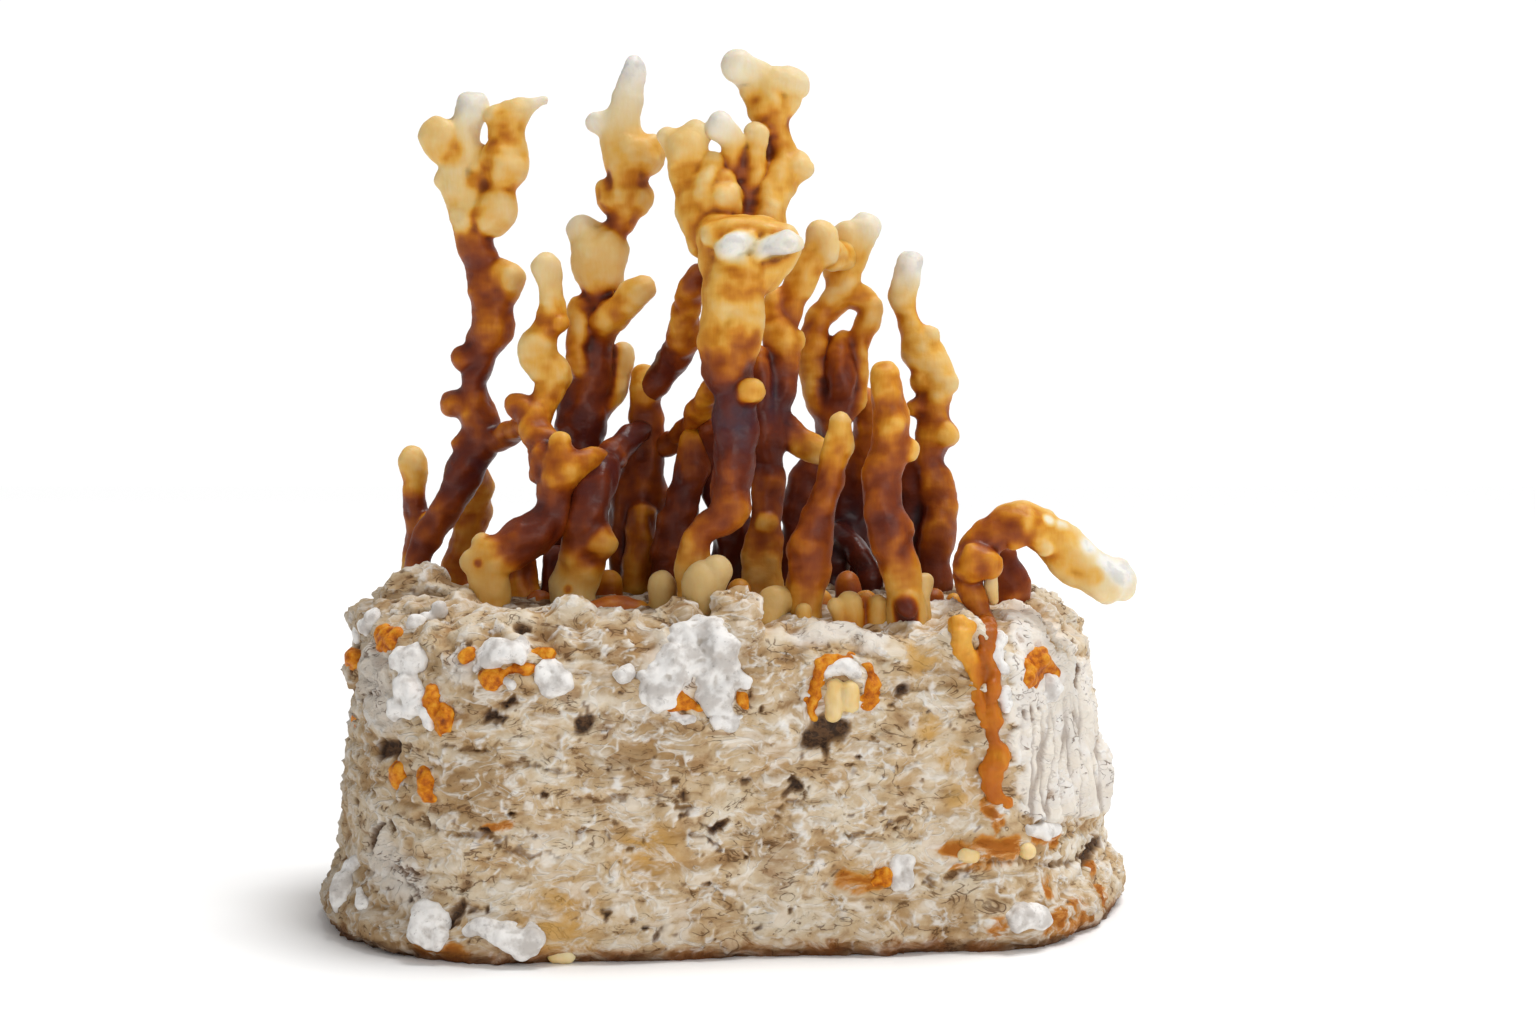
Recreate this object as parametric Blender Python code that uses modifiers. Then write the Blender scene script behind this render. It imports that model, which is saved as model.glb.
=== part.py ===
"""Antler reishi growing out of a sawdust grow block.

Blender 4.5, metres, +Z up. X runs along the block's long side, -Y is its front,
and the origin is the middle of the flat underside. Lengths below are in
millimetres, and MM turns them into metres.

Every antler is a run of joints: (across, up, depth, radius). Across and up are
read on an upright sheet through the middle of the block, as seen by an eye in
front of it. Depth is how far the joint really lies behind (+) or in front of (-)
that sheet, and it slides the joint along the line of sight.
"""

import bmesh
import bpy
from mathutils import Matrix, Vector, noise
from mathutils.bvhtree import BVHTree
from mathutils.geometry import interpolate_bezier

MM = 0.001

# The eye, and the point of the middle sheet that it looks at.
EYE = Vector((11.25, -650.0, 147.0))
LOOKED_AT = Vector((11.25, 0.0, 98.0))
SHEET_DISTANCE = 650.0

# The grow block.
BLOCK_OUTLINE = [
    (-100, -6), (-96.5, -29), (-86, -52), (-66, -68), (-40, -70), (0, -65), (30, -62),
    (54, -59), (74, -56), (88, -38), (100, -12), (101, 14), (94, 40), (74, 54),
    (36, 60), (0, 62), (-44, 60), (-78, 51), (-96, 28),
]
BLOCK_LEVELS = [
    # height, share of the width, share of the depth
    (-4, 0.995, 0.99), (3, 1.0, 1.0), (8, 0.985, 0.985), (13, 0.955, 0.965), (18, 0.94, 0.95),
    (26, 0.937, 0.945), (38, 0.93, 0.935), (52, 0.922, 0.92), (64, 0.9, 0.905), (71, 0.87, 0.885),
    (75.5, 0.83, 0.82), (77.5, 0.66, 0.62), (78.5, 0.30, 0.30),
]
OUTLINE_STEPS = 4
BLOCK_VOXEL = 2.4
BLOCK_TRIANGLES = 2100
SWELL = (22.0, 1.7)
CRUST = (8.0, 0.9)

# The antlers.
ANTLER_VOXEL = 0.9
THICKEN = 1.1
AREA_PER_TRIANGLE = 9.4
LEAST_TRIANGLES = 110
GAP = 0.4

# How finely balls and bars are made, and how the skin round them is softened.
BALL_SUBDIVISIONS = 2
BAR_SIDES = 12
SOFTENING = 0.5
SOFTENING_STEPS = 2

GOLD = (0.72, 0.43, 0.12)
AMBER = (0.52, 0.24, 0.06)
RUST = (0.30, 0.10, 0.04)
MAHOGANY = (0.10, 0.03, 0.03)
MYCELIUM = (0.75, 0.68, 0.57)
WAXY_ROUGHNESS = 0.35
CRUST_ROUGHNESS = 0.9

# Each antler or main fork: name, colour, and its runs of joints.
ANTLERS = [
    ("front_centre_stem", AMBER, [
        [(-7, 64, -36, 4.6), (-7, 80, -36, 4.5), (-7, 87.5, -36, 4.2), (-5, 93.5, -36, 3.7),
         (0.8, 98, -35, 4.9), (2.2, 104.2, -34, 5), (2.8, 111.2, -34, 5), (3, 119.2, -34, 5.4),
         (2.8, 127.5, -34, 5.5), (1, 134, -34, 6.2), (1.5, 140.2, -34, 7), (2.2, 148.2, -34, 7.2),
         (2.2, 154.8, -34, 7), (3.5, 160.5, -33, 7.5), (5, 165, -32, 6)],
        [(0.5, 158, -33, 5.4), (-1, 164, -32, 4.4), (-1.4, 168, -32, 3.3), (5.5, 168.5, -32, 3.4),
         (11.2, 168, -32, 3.4), (16, 165, -33, 3.4), (9, 159, -33, 5)],
        [(1.5, 158, -34, 5), (7.5, 162, -34, 5), (13, 165, -34, 3.6)],
        [(4, 127, -35, 4), (7, 128, -39, 3.4)],
        [(3.2, 160, -35, 4), (3.2, 164.8, -38.5, 4)],
        [(9, 161, -35, 4), (8.5, 162.2, -39, 2.6), (11.2, 164, -39, 3), (15.5, 165.5, -39, 3.5),
         (18, 165.2, -38, 2.6)],
        [(1, 166, -26, 5), (0, 172, -26, 4.6), (-2.8, 177.6, -26, 4.2), (-2.6, 182.6, -24, 3)],
        [(0, 174, -26, 4.4), (2.4, 177, -27, 4.2)],
    ]),
    ("crown_left_knob", GOLD, [
        [(-3.2, 166, -27, 5), (-6.2, 172.2, -25, 4.9), (-8, 178.5, -24, 4.4), (-9.2, 184, -23, 4.2),
         (-10, 189.5, -22, 5.6)],
        [(-10, 188, -22, 4), (-14.4, 191.6, -22, 2.8)],
        [(-10, 188, -22, 4), (-6.6, 191.6, -22, 3.2)],
    ]),
    ("crown_small_branch", GOLD, [
        [(6, 168, -23, 3.8), (6.2, 178.5, -22, 3.3), (6.8, 184, -22, 3.2), (8.6, 191.5, -22, 3.3)],
        [(6.8, 184, -22, 3), (3, 185, -23, 3.4), (2.4, 189, -23, 3.3), (1, 193, -24, 3.3),
         (-1.2, 195, -24, 3.3)],
    ]),
    ("crown_tall_branch", GOLD, [
        [(11, 165, -24, 4.6), (11, 175.5, -21, 5), (14.8, 184, -18, 5.2), (13, 189.3, -17, 3.3),
         (13.2, 193.5, -17, 3.2), (12.2, 199, -17, 4.8), (10.4, 203.4, -17, 5),
         (6, 208, -18, 4.2), (2, 209.8, -19, 3.6)],
        [(15, 184, -18, 4.6), (20, 184.3, -18, 3.3)],
        [(13, 199, -17, 4.4), (17.4, 205.2, -16, 4)],
    ]),
    ("front_left_stem", RUST, [
        [(-59, 67, -24, 5.2), (-58.6, 79, -24, 5.2), (-58.5, 85.5, -24, 5.3), (-51.2, 90.2, -23, 5.3),
         (-45, 93.4, -22, 5.2), (-40.8, 98.5, -22, 4.7), (-40.6, 104.2, -22, 4.5), (-39.8, 109, -22, 4.5),
         (-40.4, 115.8, -21, 2.8)],
        [(-58.5, 84, -24, 4), (-63, 85.5, -25, 2.9)],
        [(-58.5, 84, -24, 4), (-59.8, 90, -23, 3.1)],
        [(-39.4, 110, -22, 3.6), (-34, 112.2, -20, 2.7), (-30, 111.5, -15, 2.5)],
        [(-40, 110, -21, 3.6), (-45, 113.8, -15, 3.4)],
    ]),
    ("small_left_branch", AMBER, [
        [(-42, 113, -16, 3.2), (-47, 119.5, -10, 4), (-44.6, 126, -6, 3.6), (-42.2, 130.8, -5, 4),
         (-45.6, 136.4, -5, 4.4), (-45.8, 140.5, -5, 4.2), (-43.6, 145.5, -5, 3.3), (-43, 150.8, -5, 3.4),
         (-44, 154.8, -5, 3.2), (-44.6, 159.3, -5, 3.7)],
        [(-47, 120, -9, 3.4), (-51, 124.4, -8, 3.6)],
        [(-43.6, 145, -5, 2.8), (-41.6, 145, -6, 2.6)],
    ]),
    ("purple_front_stem", MAHOGANY, [
        [(-37.5, 72, -16, 5), (-37.5, 78.8, -16, 5.3), (-35, 85, -15, 5), (-34, 90.5, -14, 5.2),
         (-33.6, 97, -13, 4.8), (-31.4, 103, -12, 4.8), (-30, 108.5, -11, 4.2), (-28.2, 112.2, -9, 3.3),
         (-24.5, 115.5, -3, 3.2), (-20.5, 118.4, 4, 3)],
        [(-34, 90.5, -14, 4.6), (-30.2, 91.8, -16, 3.3)],
    ]),
    ("middle_back_stem", AMBER, [
        [(-20.4, 70, 8, 4), (-20.6, 78, 8, 4), (-22, 85, 8, 4.9), (-21.2, 94.5, 8, 5),
         (-20.4, 102, 8, 5.9), (-19.2, 110.5, 8, 4.4), (-18.8, 118.8, 8, 4.1), (-19.4, 124.5, 8, 4.4),
         (-19.8, 131, 8, 3.8)],
        [(-21.2, 95, 6, 4), (-21.4, 97.4, 1, 3)],
    ]),
    ("middle_rising_arm", RUST, [
        [(-18, 128, 7, 3.2), (-15.2, 132.8, 4, 3.3), (-12, 137, 0, 3.9), (-10, 142, -5, 3.9),
         (-9, 148, -10, 3.8), (-8.4, 153.5, -15, 3.2), (-5, 157.5, -20, 3), (-0.5, 158.5, -25, 2.8)],
    ]),
    ("middle_cross_arm", RUST, [
        [(-15, 114.5, 7, 3), (-11.4, 117, 2, 2.8), (-7, 122, -8, 2.8), (-3.4, 127.5, -18, 3),
         (0, 132, -27, 3)],
    ]),
    ("middle_short_stem", RUST, [
        [(-14, 70, -6, 4), (-14, 84, -6, 3.8), (-12.4, 94.5, -6, 3.6), (-10.2, 99, -6, 3.8),
         (-9, 104.5, -6, 4), (-8, 109.5, -6, 4.2), (-7.6, 115.5, -6, 3.5)],
    ]),
    ("middle_dark_stem", MAHOGANY, [
        [(1.4, 70, 2, 4.6), (1.4, 84, 2, 4.4), (0.4, 94, 1, 4), (-2.2, 103, 0, 3.6), (-3.4, 112, -3, 3.4),
         (-3, 119, -8, 3)],
    ]),
    ("tall_back_stem", AMBER, [
        [(-38.8, 72, 6, 5), (-38.4, 86, 6, 4.6), (-37.8, 98.5, 6, 4.6), (-36.4, 109.8, 6, 5),
         (-35.6, 117.5, 6, 6), (-35.2, 124, 6, 6.2), (-32.6, 129, 6, 4.6), (-32, 133.5, 6, 4.3),
         (-31.6, 139.8, 6, 4.5), (-30.8, 146.5, 6, 4.4), (-31, 152.4, 6, 3.8), (-30.8, 156, 6, 4.9),
         (-31, 161.5, 6, 6), (-28.6, 167, 6, 4.2), (-26.6, 171, 6, 3.3), (-25.2, 174.5, 6, 4.9),
         (-23.4, 178.5, 6, 5.4), (-24.8, 183, 6, 5.2), (-23.4, 190, 6, 5.3), (-26.4, 196, 6, 4),
         (-24.4, 200, 6, 3), (-23.2, 205, 6, 2.8), (-22.5, 210, 6, 2.8)],
        [(-23.4, 188, 6, 5), (-19.6, 187.8, 6, 5)],
        [(-26.4, 195, 6, 3.4), (-31, 195.3, 5, 2.8)],
        [(-25, 178.5, 6, 4), (-30.2, 179, 6, 2.4)],
        [(-31, 165, 6, 4), (-35.4, 168.4, 6, 3.3)],
        [(-31.5, 146, 6, 4), (-36, 149.4, 5, 2.9), (-35.6, 143, 4, 3.6), (-36.8, 137.8, 3, 3.2),
         (-34, 133, 5, 3.4)],
        [(-31, 124, 7, 3.6), (-26.4, 129, 10, 3.4), (-25.8, 138, 11, 2.6)],
        [(-30, 144, 4, 4), (-27.2, 147.4, 1, 4.2), (-24, 150.6, -1, 3.8), (-20, 154.4, -3, 3.2)],
    ]),
    ("far_left_stem", RUST, [
        [(-75.8, 70, 12, 3.8), (-76, 80, 12, 3.4), (-75.8, 87, 12, 3.3), (-73, 93, 12, 3.6),
         (-69.4, 98.8, 12, 4.1), (-65.6, 106, 12, 4.5), (-62.4, 112.2, 12, 4.6), (-60, 117.5, 12, 4.6),
         (-62.2, 125.6, 12, 4.3), (-62.2, 131, 11, 3.2), (-60.8, 137.6, 11, 4.2), (-57.6, 146, 10, 5),
         (-59.8, 158, 10, 3.9), (-61.4, 164.2, 10, 4.2), (-62.6, 170.4, 10, 5), (-64.4, 175.5, 10, 5)],
        [(-62.4, 125.6, 12, 3.8), (-67.6, 125.5, 12, 3.5)],
        [(-60.8, 137, 11, 4), (-64.8, 136.6, 10, 3.5)],
        [(-57.8, 151, 10, 4), (-53, 156, 10, 3.9)],
        [(-60, 119, 12, 3.6), (-65.6, 115.4, 11, 2.4)],
        [(-60, 116.5, 12, 3.8), (-55.5, 116.6, 8, 3), (-51.5, 118.5, 2, 2.8), (-49, 120, -4, 2.6)],
    ]),
    ("far_left_left_fork", GOLD, [
        [(-63, 174, 10, 4.6), (-65.8, 180, 10, 4.9), (-66, 187.5, 10, 5.4), (-64.2, 194, 10, 4),
         (-62.8, 199.2, 10, 3.8)],
        [(-66, 180, 10, 4), (-70.8, 181.8, 9, 2.6)],
        [(-66, 188, 10, 4.6), (-70.4, 192.6, 9, 5)],
    ]),
    ("far_left_right_fork", GOLD, [
        [(-60, 172, 9, 4), (-56.6, 174, 7, 4.6), (-54.6, 179, 7, 3.6), (-54, 184.6, 7, 5),
         (-54.4, 189.6, 7, 3.8), (-52.6, 195, 7, 5), (-49.6, 197.6, 7, 3.6), (-45.2, 200.4, 7, 1.9)],
    ]),
    ("far_left_stub", RUST, [
        [(-77, 72, 26, 3.6), (-77, 82.2, 26, 3.1), (-76.4, 90, 26, 3.2), (-76.2, 96, 26, 3.3),
         (-77.4, 103.5, 26, 2.8), (-77.4, 110.6, 26, 3.7)],
        [(-76, 93, 26, 2.8), (-73.4, 95.5, 23, 2.4)],
    ]),
    ("left_pale_stem", GOLD, [
        [(-66.4, 70, 30, 3.8), (-66.4, 83, 30, 3.6), (-65, 89, 30, 3.9), (-62.4, 97, 28, 3.9),
         (-60.6, 103.5, 24, 3.2), (-61.4, 109, 18, 2.8)],
    ]),
    ("left_low_stub", AMBER, [
        [(-50, 71, -6, 4.4), (-50.6, 79.8, -6, 4.4), (-50.8, 84, -6, 4.2)],
    ]),
    ("left_dark_stub", MAHOGANY, [
        [(-42.4, 71, -4, 3.6), (-41.8, 79, -4, 3.6), (-41.4, 86, -3, 3.6)],
    ]),
    ("right_middle_stem", RUST, [
        [(9.2, 71, -14, 4.7), (9.2, 84.2, -14, 4.5), (10.4, 89.2, -13, 4.1), (10.5, 97, -12, 3.6),
         (11, 105, -12, 3.6), (11, 111.5, -12, 3.8), (12.4, 121.2, -11, 4), (13.5, 127.5, -10, 4.1),
         (14.2, 134.8, -9, 4.3), (14.4, 140, -8, 4.5), (13.4, 144.4, -8, 3.4)],
        [(14.4, 140, -8, 3.6), (18.2, 141, -8, 2.4)],
        [(10.5, 95, -13, 3), (10.5, 96.4, -16.5, 2.6)],
        [(12.8, 122, -11, 3.4), (15, 119.8, -10, 3.4), (19.2, 115.2, -10, 3.5), (23.4, 113, -10, 3.4)],
    ]),
    ("right_slanting_branch", GOLD, [
        [(14.6, 141, -7, 3.4), (15.4, 146, -6, 3.3), (16.8, 151, -6, 3.6), (19, 155.4, -6, 3.5),
         (21.6, 160, -6, 3.4), (24, 164, -6, 3.5), (25, 167.4, -6, 3.2)],
        [(16.6, 151.5, -6, 2.8), (13.6, 152, -7, 2.6), (12.4, 147.5, -8, 2.8)],
    ]),
    ("right_ringed_stem", AMBER, [
        [(18, 71, 12, 4.6), (18, 86, 12, 4.2), (18.5, 96, 12, 3.8), (19.4, 103.5, 12, 3.8),
         (23, 109.8, 12, 3.8), (27, 115.5, 12, 4), (27.8, 122.4, 12, 4.5)],
        [(27.2, 122, 12, 4.2), (24, 127.4, 12, 3.5), (23.2, 133.5, 12, 3.3), (22, 139, 12, 2.9),
         (23.4, 144.8, 12, 2.9), (26.5, 149.5, 12, 3.1), (29.4, 153, 12, 3.9), (28.9, 157.5, 12, 3.2),
         (31.3, 162.5, 12, 4), (34.4, 168.2, 12, 4.3)],
        [(28, 122, 11, 4), (29.5, 130.8, 8, 3.5), (29.4, 135.4, 9, 3.1), (29.6, 140.4, 12, 2.8)],
        [(28.6, 121.5, 12, 3.8), (33.2, 125.6, 12, 2.9), (33.6, 131.5, 12, 2.7), (34, 138, 12, 2.5),
         (35.2, 143.5, 12, 2.7), (37, 147.8, 12, 2.8), (34.8, 151.4, 12, 3), (29.4, 153, 12, 3.4)],
    ]),
    ("back_dark_stem", MAHOGANY, [
        [(33.8, 72, 30, 5.4), (33.2, 83.5, 30, 5.1), (31.8, 93.5, 29, 5.1), (32.2, 101, 28, 5),
         (34.6, 110.5, 24, 4.7), (36, 118.5, 19, 4.2), (35.2, 126, 15, 3.2)],
        [(31.8, 93, 27, 3.4), (29.4, 91.4, 19, 3), (34.4, 87.5, 13, 3), (37.2, 80, 10, 3),
         (37.4, 72, 10, 3)],
    ]),
    ("right_tall_stem", AMBER, [
        [(53.2, 71, 6, 4.2), (53, 80, 6, 3.9), (52.6, 85, 6, 3.9), (53.8, 92.5, 6, 4.3),
         (54.2, 100.2, 6, 4), (53, 105.4, 6, 4.5), (51.4, 110.6, 6, 4), (52.6, 117, 6, 3.9),
         (53.2, 124.5, 6, 3.8), (53.6, 130.8, 6, 4.4), (50.8, 137.2, 6, 4.5), (47.8, 142.4, 6, 3.8),
         (45.6, 149.8, 6, 3.2), (45.2, 154.8, 6, 3.4), (46, 159.8, 6, 3.7)],
        [(52.8, 117.4, 6, 3.4), (55.8, 118, 5, 3.4)],
        [(53.6, 128, 6, 3.6), (50, 131, 5, 3.8)],
        [(52.4, 124.5, 6, 3), (48.2, 124.3, 5, 2.4)],
        [(48.6, 71, 12, 4), (48.6, 86, 12, 3.8), (48.8, 96, 11, 3.7), (50.4, 106, 7, 3.6)],
    ]),
    ("front_slender_stem", AMBER, [
        [(20.6, 64, -38, 4), (20.8, 78, -38, 4), (22, 83, -38, 4.7), (21.4, 88, -38, 5),
         (23.2, 94, -38, 4.3), (25.2, 102, -38, 3.5), (27, 108.5, -38, 3.4), (28.8, 115.5, -38, 3.4),
         (29.2, 120, -38, 3.1)],
    ]),
    ("front_thick_stem", AMBER, [
        [(45.4, 62, -42, 4), (45, 76, -42, 4), (44.2, 82.2, -42, 4.2), (43, 87.5, -42, 4.8),
         (41, 93.8, -42, 5.3), (39.8, 100.2, -41, 5), (39.8, 106.5, -40, 4.9), (41.4, 114.8, -40, 4.6),
         (41.6, 121.2, -40, 4.8), (41, 127, -40, 4.5), (40.5, 132, -40, 3.5)],
        [(41.8, 93.6, -42, 4), (45.2, 93.4, -42, 3)],
        [(41.8, 114.4, -40, 3.6), (46, 113.6, -40, 3)],
    ]),
    ("corner_hook_stem", GOLD, [
        [(65.6, 60, -37, 3.4), (64, 76, -37, 3.4), (62.6, 80, -36, 3.4), (63.2, 85.5, -36, 5.3),
         (65.6, 90, -35, 4.2), (68.6, 93.8, -34, 3.9), (72.6, 96.2, -33, 4.3), (77.4, 96.8, -32, 4.7),
         (81.6, 93.2, -31, 5), (85.4, 87.6, -30, 5), (90.4, 82.4, -30, 4.7), (95.2, 79, -30, 4.5),
         (97.6, 80.8, -30, 4.7)],
    ]),
    ("corner_dark_stub", MAHOGANY, [
        [(71.4, 68, -12, 5.2), (71.2, 80, -12, 4.7), (70.4, 86, -12, 3.6)],
    ]),
]

# Small buds along the top of the block: runs of joints, as above.
BUDS = [
    [(-15, 74, -33, 3), (-15, 79, -33, 3.8)],
    [(-5.2, 73, -44, 4), (-5.2, 80.6, -44, 4.9)],
    [(-4, 78, -44, 4), (-1.4, 83.2, -44, 3.7)],
    [(4, 68, -52, 6), (4.4, 73.5, -51, 5.6)],
    [(12.6, 72, -40, 3.6), (12.8, 76.5, -40, 3.8)],
    [(20.2, 71, -46, 2.6), (20.2, 74.4, -46, 2.6)],
    [(28.4, 71, -45, 2.8), (28.4, 75, -45, 2.7)],
    [(31.8, 71, -44, 3), (31.8, 76, -44, 2.9)],
    [(36.8, 71, -42, 2.6), (36.8, 75.4, -42, 2.6)],
    [(49.8, 71, -38, 2.6), (50.2, 80, -38, 2.6)],
    [(46.4, 72, -47, 3), (46.2, 75.4, -47.5, 2.9)],
]

# Soft mounds of mycelium on the block's rounded rim.
MOUNDS = [
    [(-84, 68, 4, 9), (-80, 71, 8, 9)],
    [(-80, 68, -24, 8), (-66, 70, -30, 8)],
    [(74, 64, 2, 8), (68, 66, 14, 8)],
    [(-88, 58, -22, 7)],
]

# Lumps on the faces of the block: (across, up, radius, how far the centre lies in).
LUMPS = [
    (-92, 62, 3.4, 1.2), (-92.2, 46.5, 2.4, 0.9), (-83.4, 67, 3.2, 1.6), (-77, 62, 3.4, 1.4),
    (-78.6, 53, 4.4, 1.8), (-73, 51, 3.4, 1.4), (-69.6, 46.2, 3, 1.2), (-56, 62.4, 4, 2),
    (-45.2, 62.8, 2.4, 1), (-50, 57.6, 3, 1.6), (-42.8, 57, 3.9, 1.2), (-81.2, 32.2, 2.8, 1.2),
    (-74.6, 30, 3.4, 1.4), (-14, 64, 6, 3.4), (-6, 62, 6, 3.4), (-10, 53, 5, 2.6),
    (-2, 52, 4, 1.6), (0.8, 45.4, 3.2, 1.2), (4, 50.4, 2.6, 1), (30.6, 57.4, 4, 1),
    (30, 51.6, 4.2, 2), (36.4, 52.4, 3.2, 1.2), (25, 52, 2.8, 1), (81, 53.4, 6, 3.4),
    (44.4, 8.6, 3.6, 1.4), (61.6, 12.2, 2.4, 0.8), (76.4, 12.8, 2.4, 0.8), (79.8, 18.4, 3.4, 2.2),
    (-74, -5, 5, 2.6), (-53.4, -8.4, 4.6, 2.6), (-96, 3, 3.6, 1.6), (-93.8, 8.8, 2.4, 1),
    (76, -3.4, 4, 2),
]
CORNER_BAND = [
    # a rope of tissue that runs from the hooked antler down the front right corner
    (58.8, 71.6, 2.9), (60, 65.8, 3), (62.4, 62, 2.8), (64.4, 57.2, 2.7), (66, 52.4, 2.6),
    (67.4, 46, 2.5), (68.2, 41.4, 2.6), (68.2, 36.4, 3.4), (66.6, 30.8, 2.8), (70.4, 25, 2),
]
CORNER_BAND_DEPTH_IN = 0.9


def sight_axes():
    """The forward, right and up directions of the eye."""
    forward = (LOOKED_AT - EYE).normalized()
    right = forward.cross(Vector((0, 0, 1))).normalized()
    return forward, right, right.cross(forward)


def sight_ray(across, up):
    """The direction in which the eye sees a point of the sheet."""
    forward, right, upward = sight_axes()
    return (
        forward * SHEET_DISTANCE
        + right * (across - LOOKED_AT.x)
        + upward * (up - LOOKED_AT.z)
    )


def joint_in_space(across, up, depth, radius):
    """A joint slid along its line of sight to its real depth: (centre, radius) in metres."""
    ray = sight_ray(across, up)
    reach = (depth - EYE.y) / ray.y
    return (EYE + ray * reach) * MM, radius * reach * THICKEN * MM


def material(name, colour, roughness):
    made = bpy.data.materials.new(name)
    made.use_nodes = True
    shader = made.node_tree.nodes["Principled BSDF"]
    shader.inputs["Base Color"].default_value = (*colour, 1)
    shader.inputs["Roughness"].default_value = roughness
    shader.inputs["Metallic"].default_value = 0
    return made


def add_ball(bm, centre, radius):
    place = Matrix.Translation(centre)
    bmesh.ops.create_icosphere(bm, subdivisions=BALL_SUBDIVISIONS, radius=radius, matrix=place)


def add_link(bm, start, start_radius, end, end_radius):
    """A tapered round bar between two balls."""
    along = end - start
    turn = along.to_track_quat("Z", "Y").to_matrix().to_4x4()
    bmesh.ops.create_cone(
        bm, cap_ends=True, segments=BAR_SIDES, radius1=start_radius, radius2=end_radius,
        depth=along.length, matrix=Matrix.Translation((start + end) / 2) @ turn,
    )


def add_run(bm, joints):
    """Balls and tapered bars along one run of joints."""
    placed = [joint_in_space(*joint) for joint in joints]
    for centre, radius in placed:
        add_ball(bm, centre, radius)
    for (start, start_radius), (end, end_radius) in zip(placed, placed[1:]):
        add_link(bm, start, start_radius, end, end_radius)


def object_from(bm, name, collection):
    mesh = bpy.data.meshes.new(name)
    bm.to_mesh(mesh)
    bm.free()
    made = bpy.data.objects.new(name, mesh)
    collection.objects.link(made)
    return made


def apply_modifiers(obj):
    """Keep the shape that the modifiers make, and drop them."""
    evaluated = obj.evaluated_get(bpy.context.evaluated_depsgraph_get())
    shaped = bpy.data.meshes.new_from_object(evaluated)
    obj.modifiers.clear()
    obj.data = shaped


def blend_into_skin(obj, voxel):
    """One closed skin round everything in the object, with its creases softened."""
    remesh = obj.modifiers.new("skin", "REMESH")
    remesh.mode = "VOXEL"
    remesh.voxel_size = voxel * MM
    smooth = obj.modifiers.new("soften", "SMOOTH")
    smooth.factor = SOFTENING
    smooth.iterations = SOFTENING_STEPS
    apply_modifiers(obj)


def reduce_to(obj, triangles):
    """Collapse the skin to about this many triangles."""
    obj.data.calc_loop_triangles()
    decimate = obj.modifiers.new("reduce", "DECIMATE")
    decimate.ratio = min(1.0, triangles / len(obj.data.loop_triangles))
    apply_modifiers(obj)


def skin_area(obj):
    return sum(face.area for face in obj.data.polygons) / MM**2


def fatter_copy(obj, collection):
    """A copy that stands proud by the gap, for cutting a neighbour clear."""
    copy = obj.copy()
    copy.data = obj.data.copy()
    copy.name = obj.name + "_cutter"
    collection.objects.link(copy)
    copy.hide_render = True
    copy.display_type = "WIRE"
    swell = copy.modifiers.new("gap", "DISPLACE")
    swell.strength = GAP * MM
    swell.mid_level = 0
    apply_modifiers(copy)
    return copy


def boxes_meet(first, second):
    """Whether two objects' boxes overlap."""
    for axis in range(3):
        first_span = [vertex.co[axis] for vertex in first.data.vertices]
        second_span = [vertex.co[axis] for vertex in second.data.vertices]
        if max(first_span) < min(second_span) or max(second_span) < min(first_span):
            return False
    return True


def keep_largest_body(obj):
    """Drop the crumbs that a cut leaves beside the main body."""
    bm = bmesh.new()
    bm.from_mesh(obj.data)
    bodies = []
    waiting = set(bm.verts)
    while waiting:
        body = {waiting.pop()}
        edge_of_body = list(body)
        while edge_of_body:
            vertex = edge_of_body.pop()
            for edge in vertex.link_edges:
                other = edge.other_vert(vertex)
                if other not in body:
                    body.add(other)
                    edge_of_body.append(other)
        waiting -= body
        bodies.append(body)
    largest = max(bodies, key=len)
    crumbs = [vertex for vertex in bm.verts if vertex not in largest]
    bmesh.ops.delete(bm, geom=crumbs, context="VERTS")
    bm.to_mesh(obj.data)
    bm.free()


def cut_clear(obj, cutters):
    """Cut the object back from each neighbour that it meets."""
    meeting = [cutter for cutter in cutters if boxes_meet(obj, cutter)]
    for cutter in meeting:
        cut = obj.modifiers.new("clear_" + cutter.name, "BOOLEAN")
        cut.operation = "DIFFERENCE"
        cut.solver = "EXACT"
        cut.use_self = True
        cut.object = cutter
    if meeting:
        apply_modifiers(obj)
        keep_largest_body(obj)


def smooth_outline(points):
    """A closed curve through the outline's points, a few steps between each two."""
    count = len(points)
    flat = [Vector((x, y, 0)) for x, y in points]
    curve = []
    for i in range(count):
        before, start, end, after = (flat[(i + k) % count] for k in (-1, 0, 1, 2))
        leave = start + (end - before) / 6
        arrive = end - (after - start) / 6
        curve += interpolate_bezier(start, leave, arrive, end, OUTLINE_STEPS + 1)[:-1]
    return curve


def add_block_core(bm):
    """The block's body: one outline lofted through its levels."""
    outline = smooth_outline(BLOCK_OUTLINE)
    rings = []
    for height, width_share, depth_share in BLOCK_LEVELS:
        ring = [
            bm.verts.new(Vector((point.x * width_share, point.y * depth_share, height)) * MM)
            for point in outline
        ]
        rings.append(ring)
    count = len(outline)
    for lower, upper in zip(rings, rings[1:]):
        for i in range(count):
            k = (i + 1) % count
            bm.faces.new((lower[i], lower[k], upper[k], upper[i]))
    bm.faces.new(reversed(rings[0]))
    bm.faces.new(rings[-1])


def spot_on_block(surface, across, up, depth_in):
    """The point of the block's face seen at (across, up), moved in by depth_in."""
    hit, normal, _, _ = surface.ray_cast(EYE * MM, sight_ray(across, up).normalized())
    return hit - normal * depth_in * MM if hit else None


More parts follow.
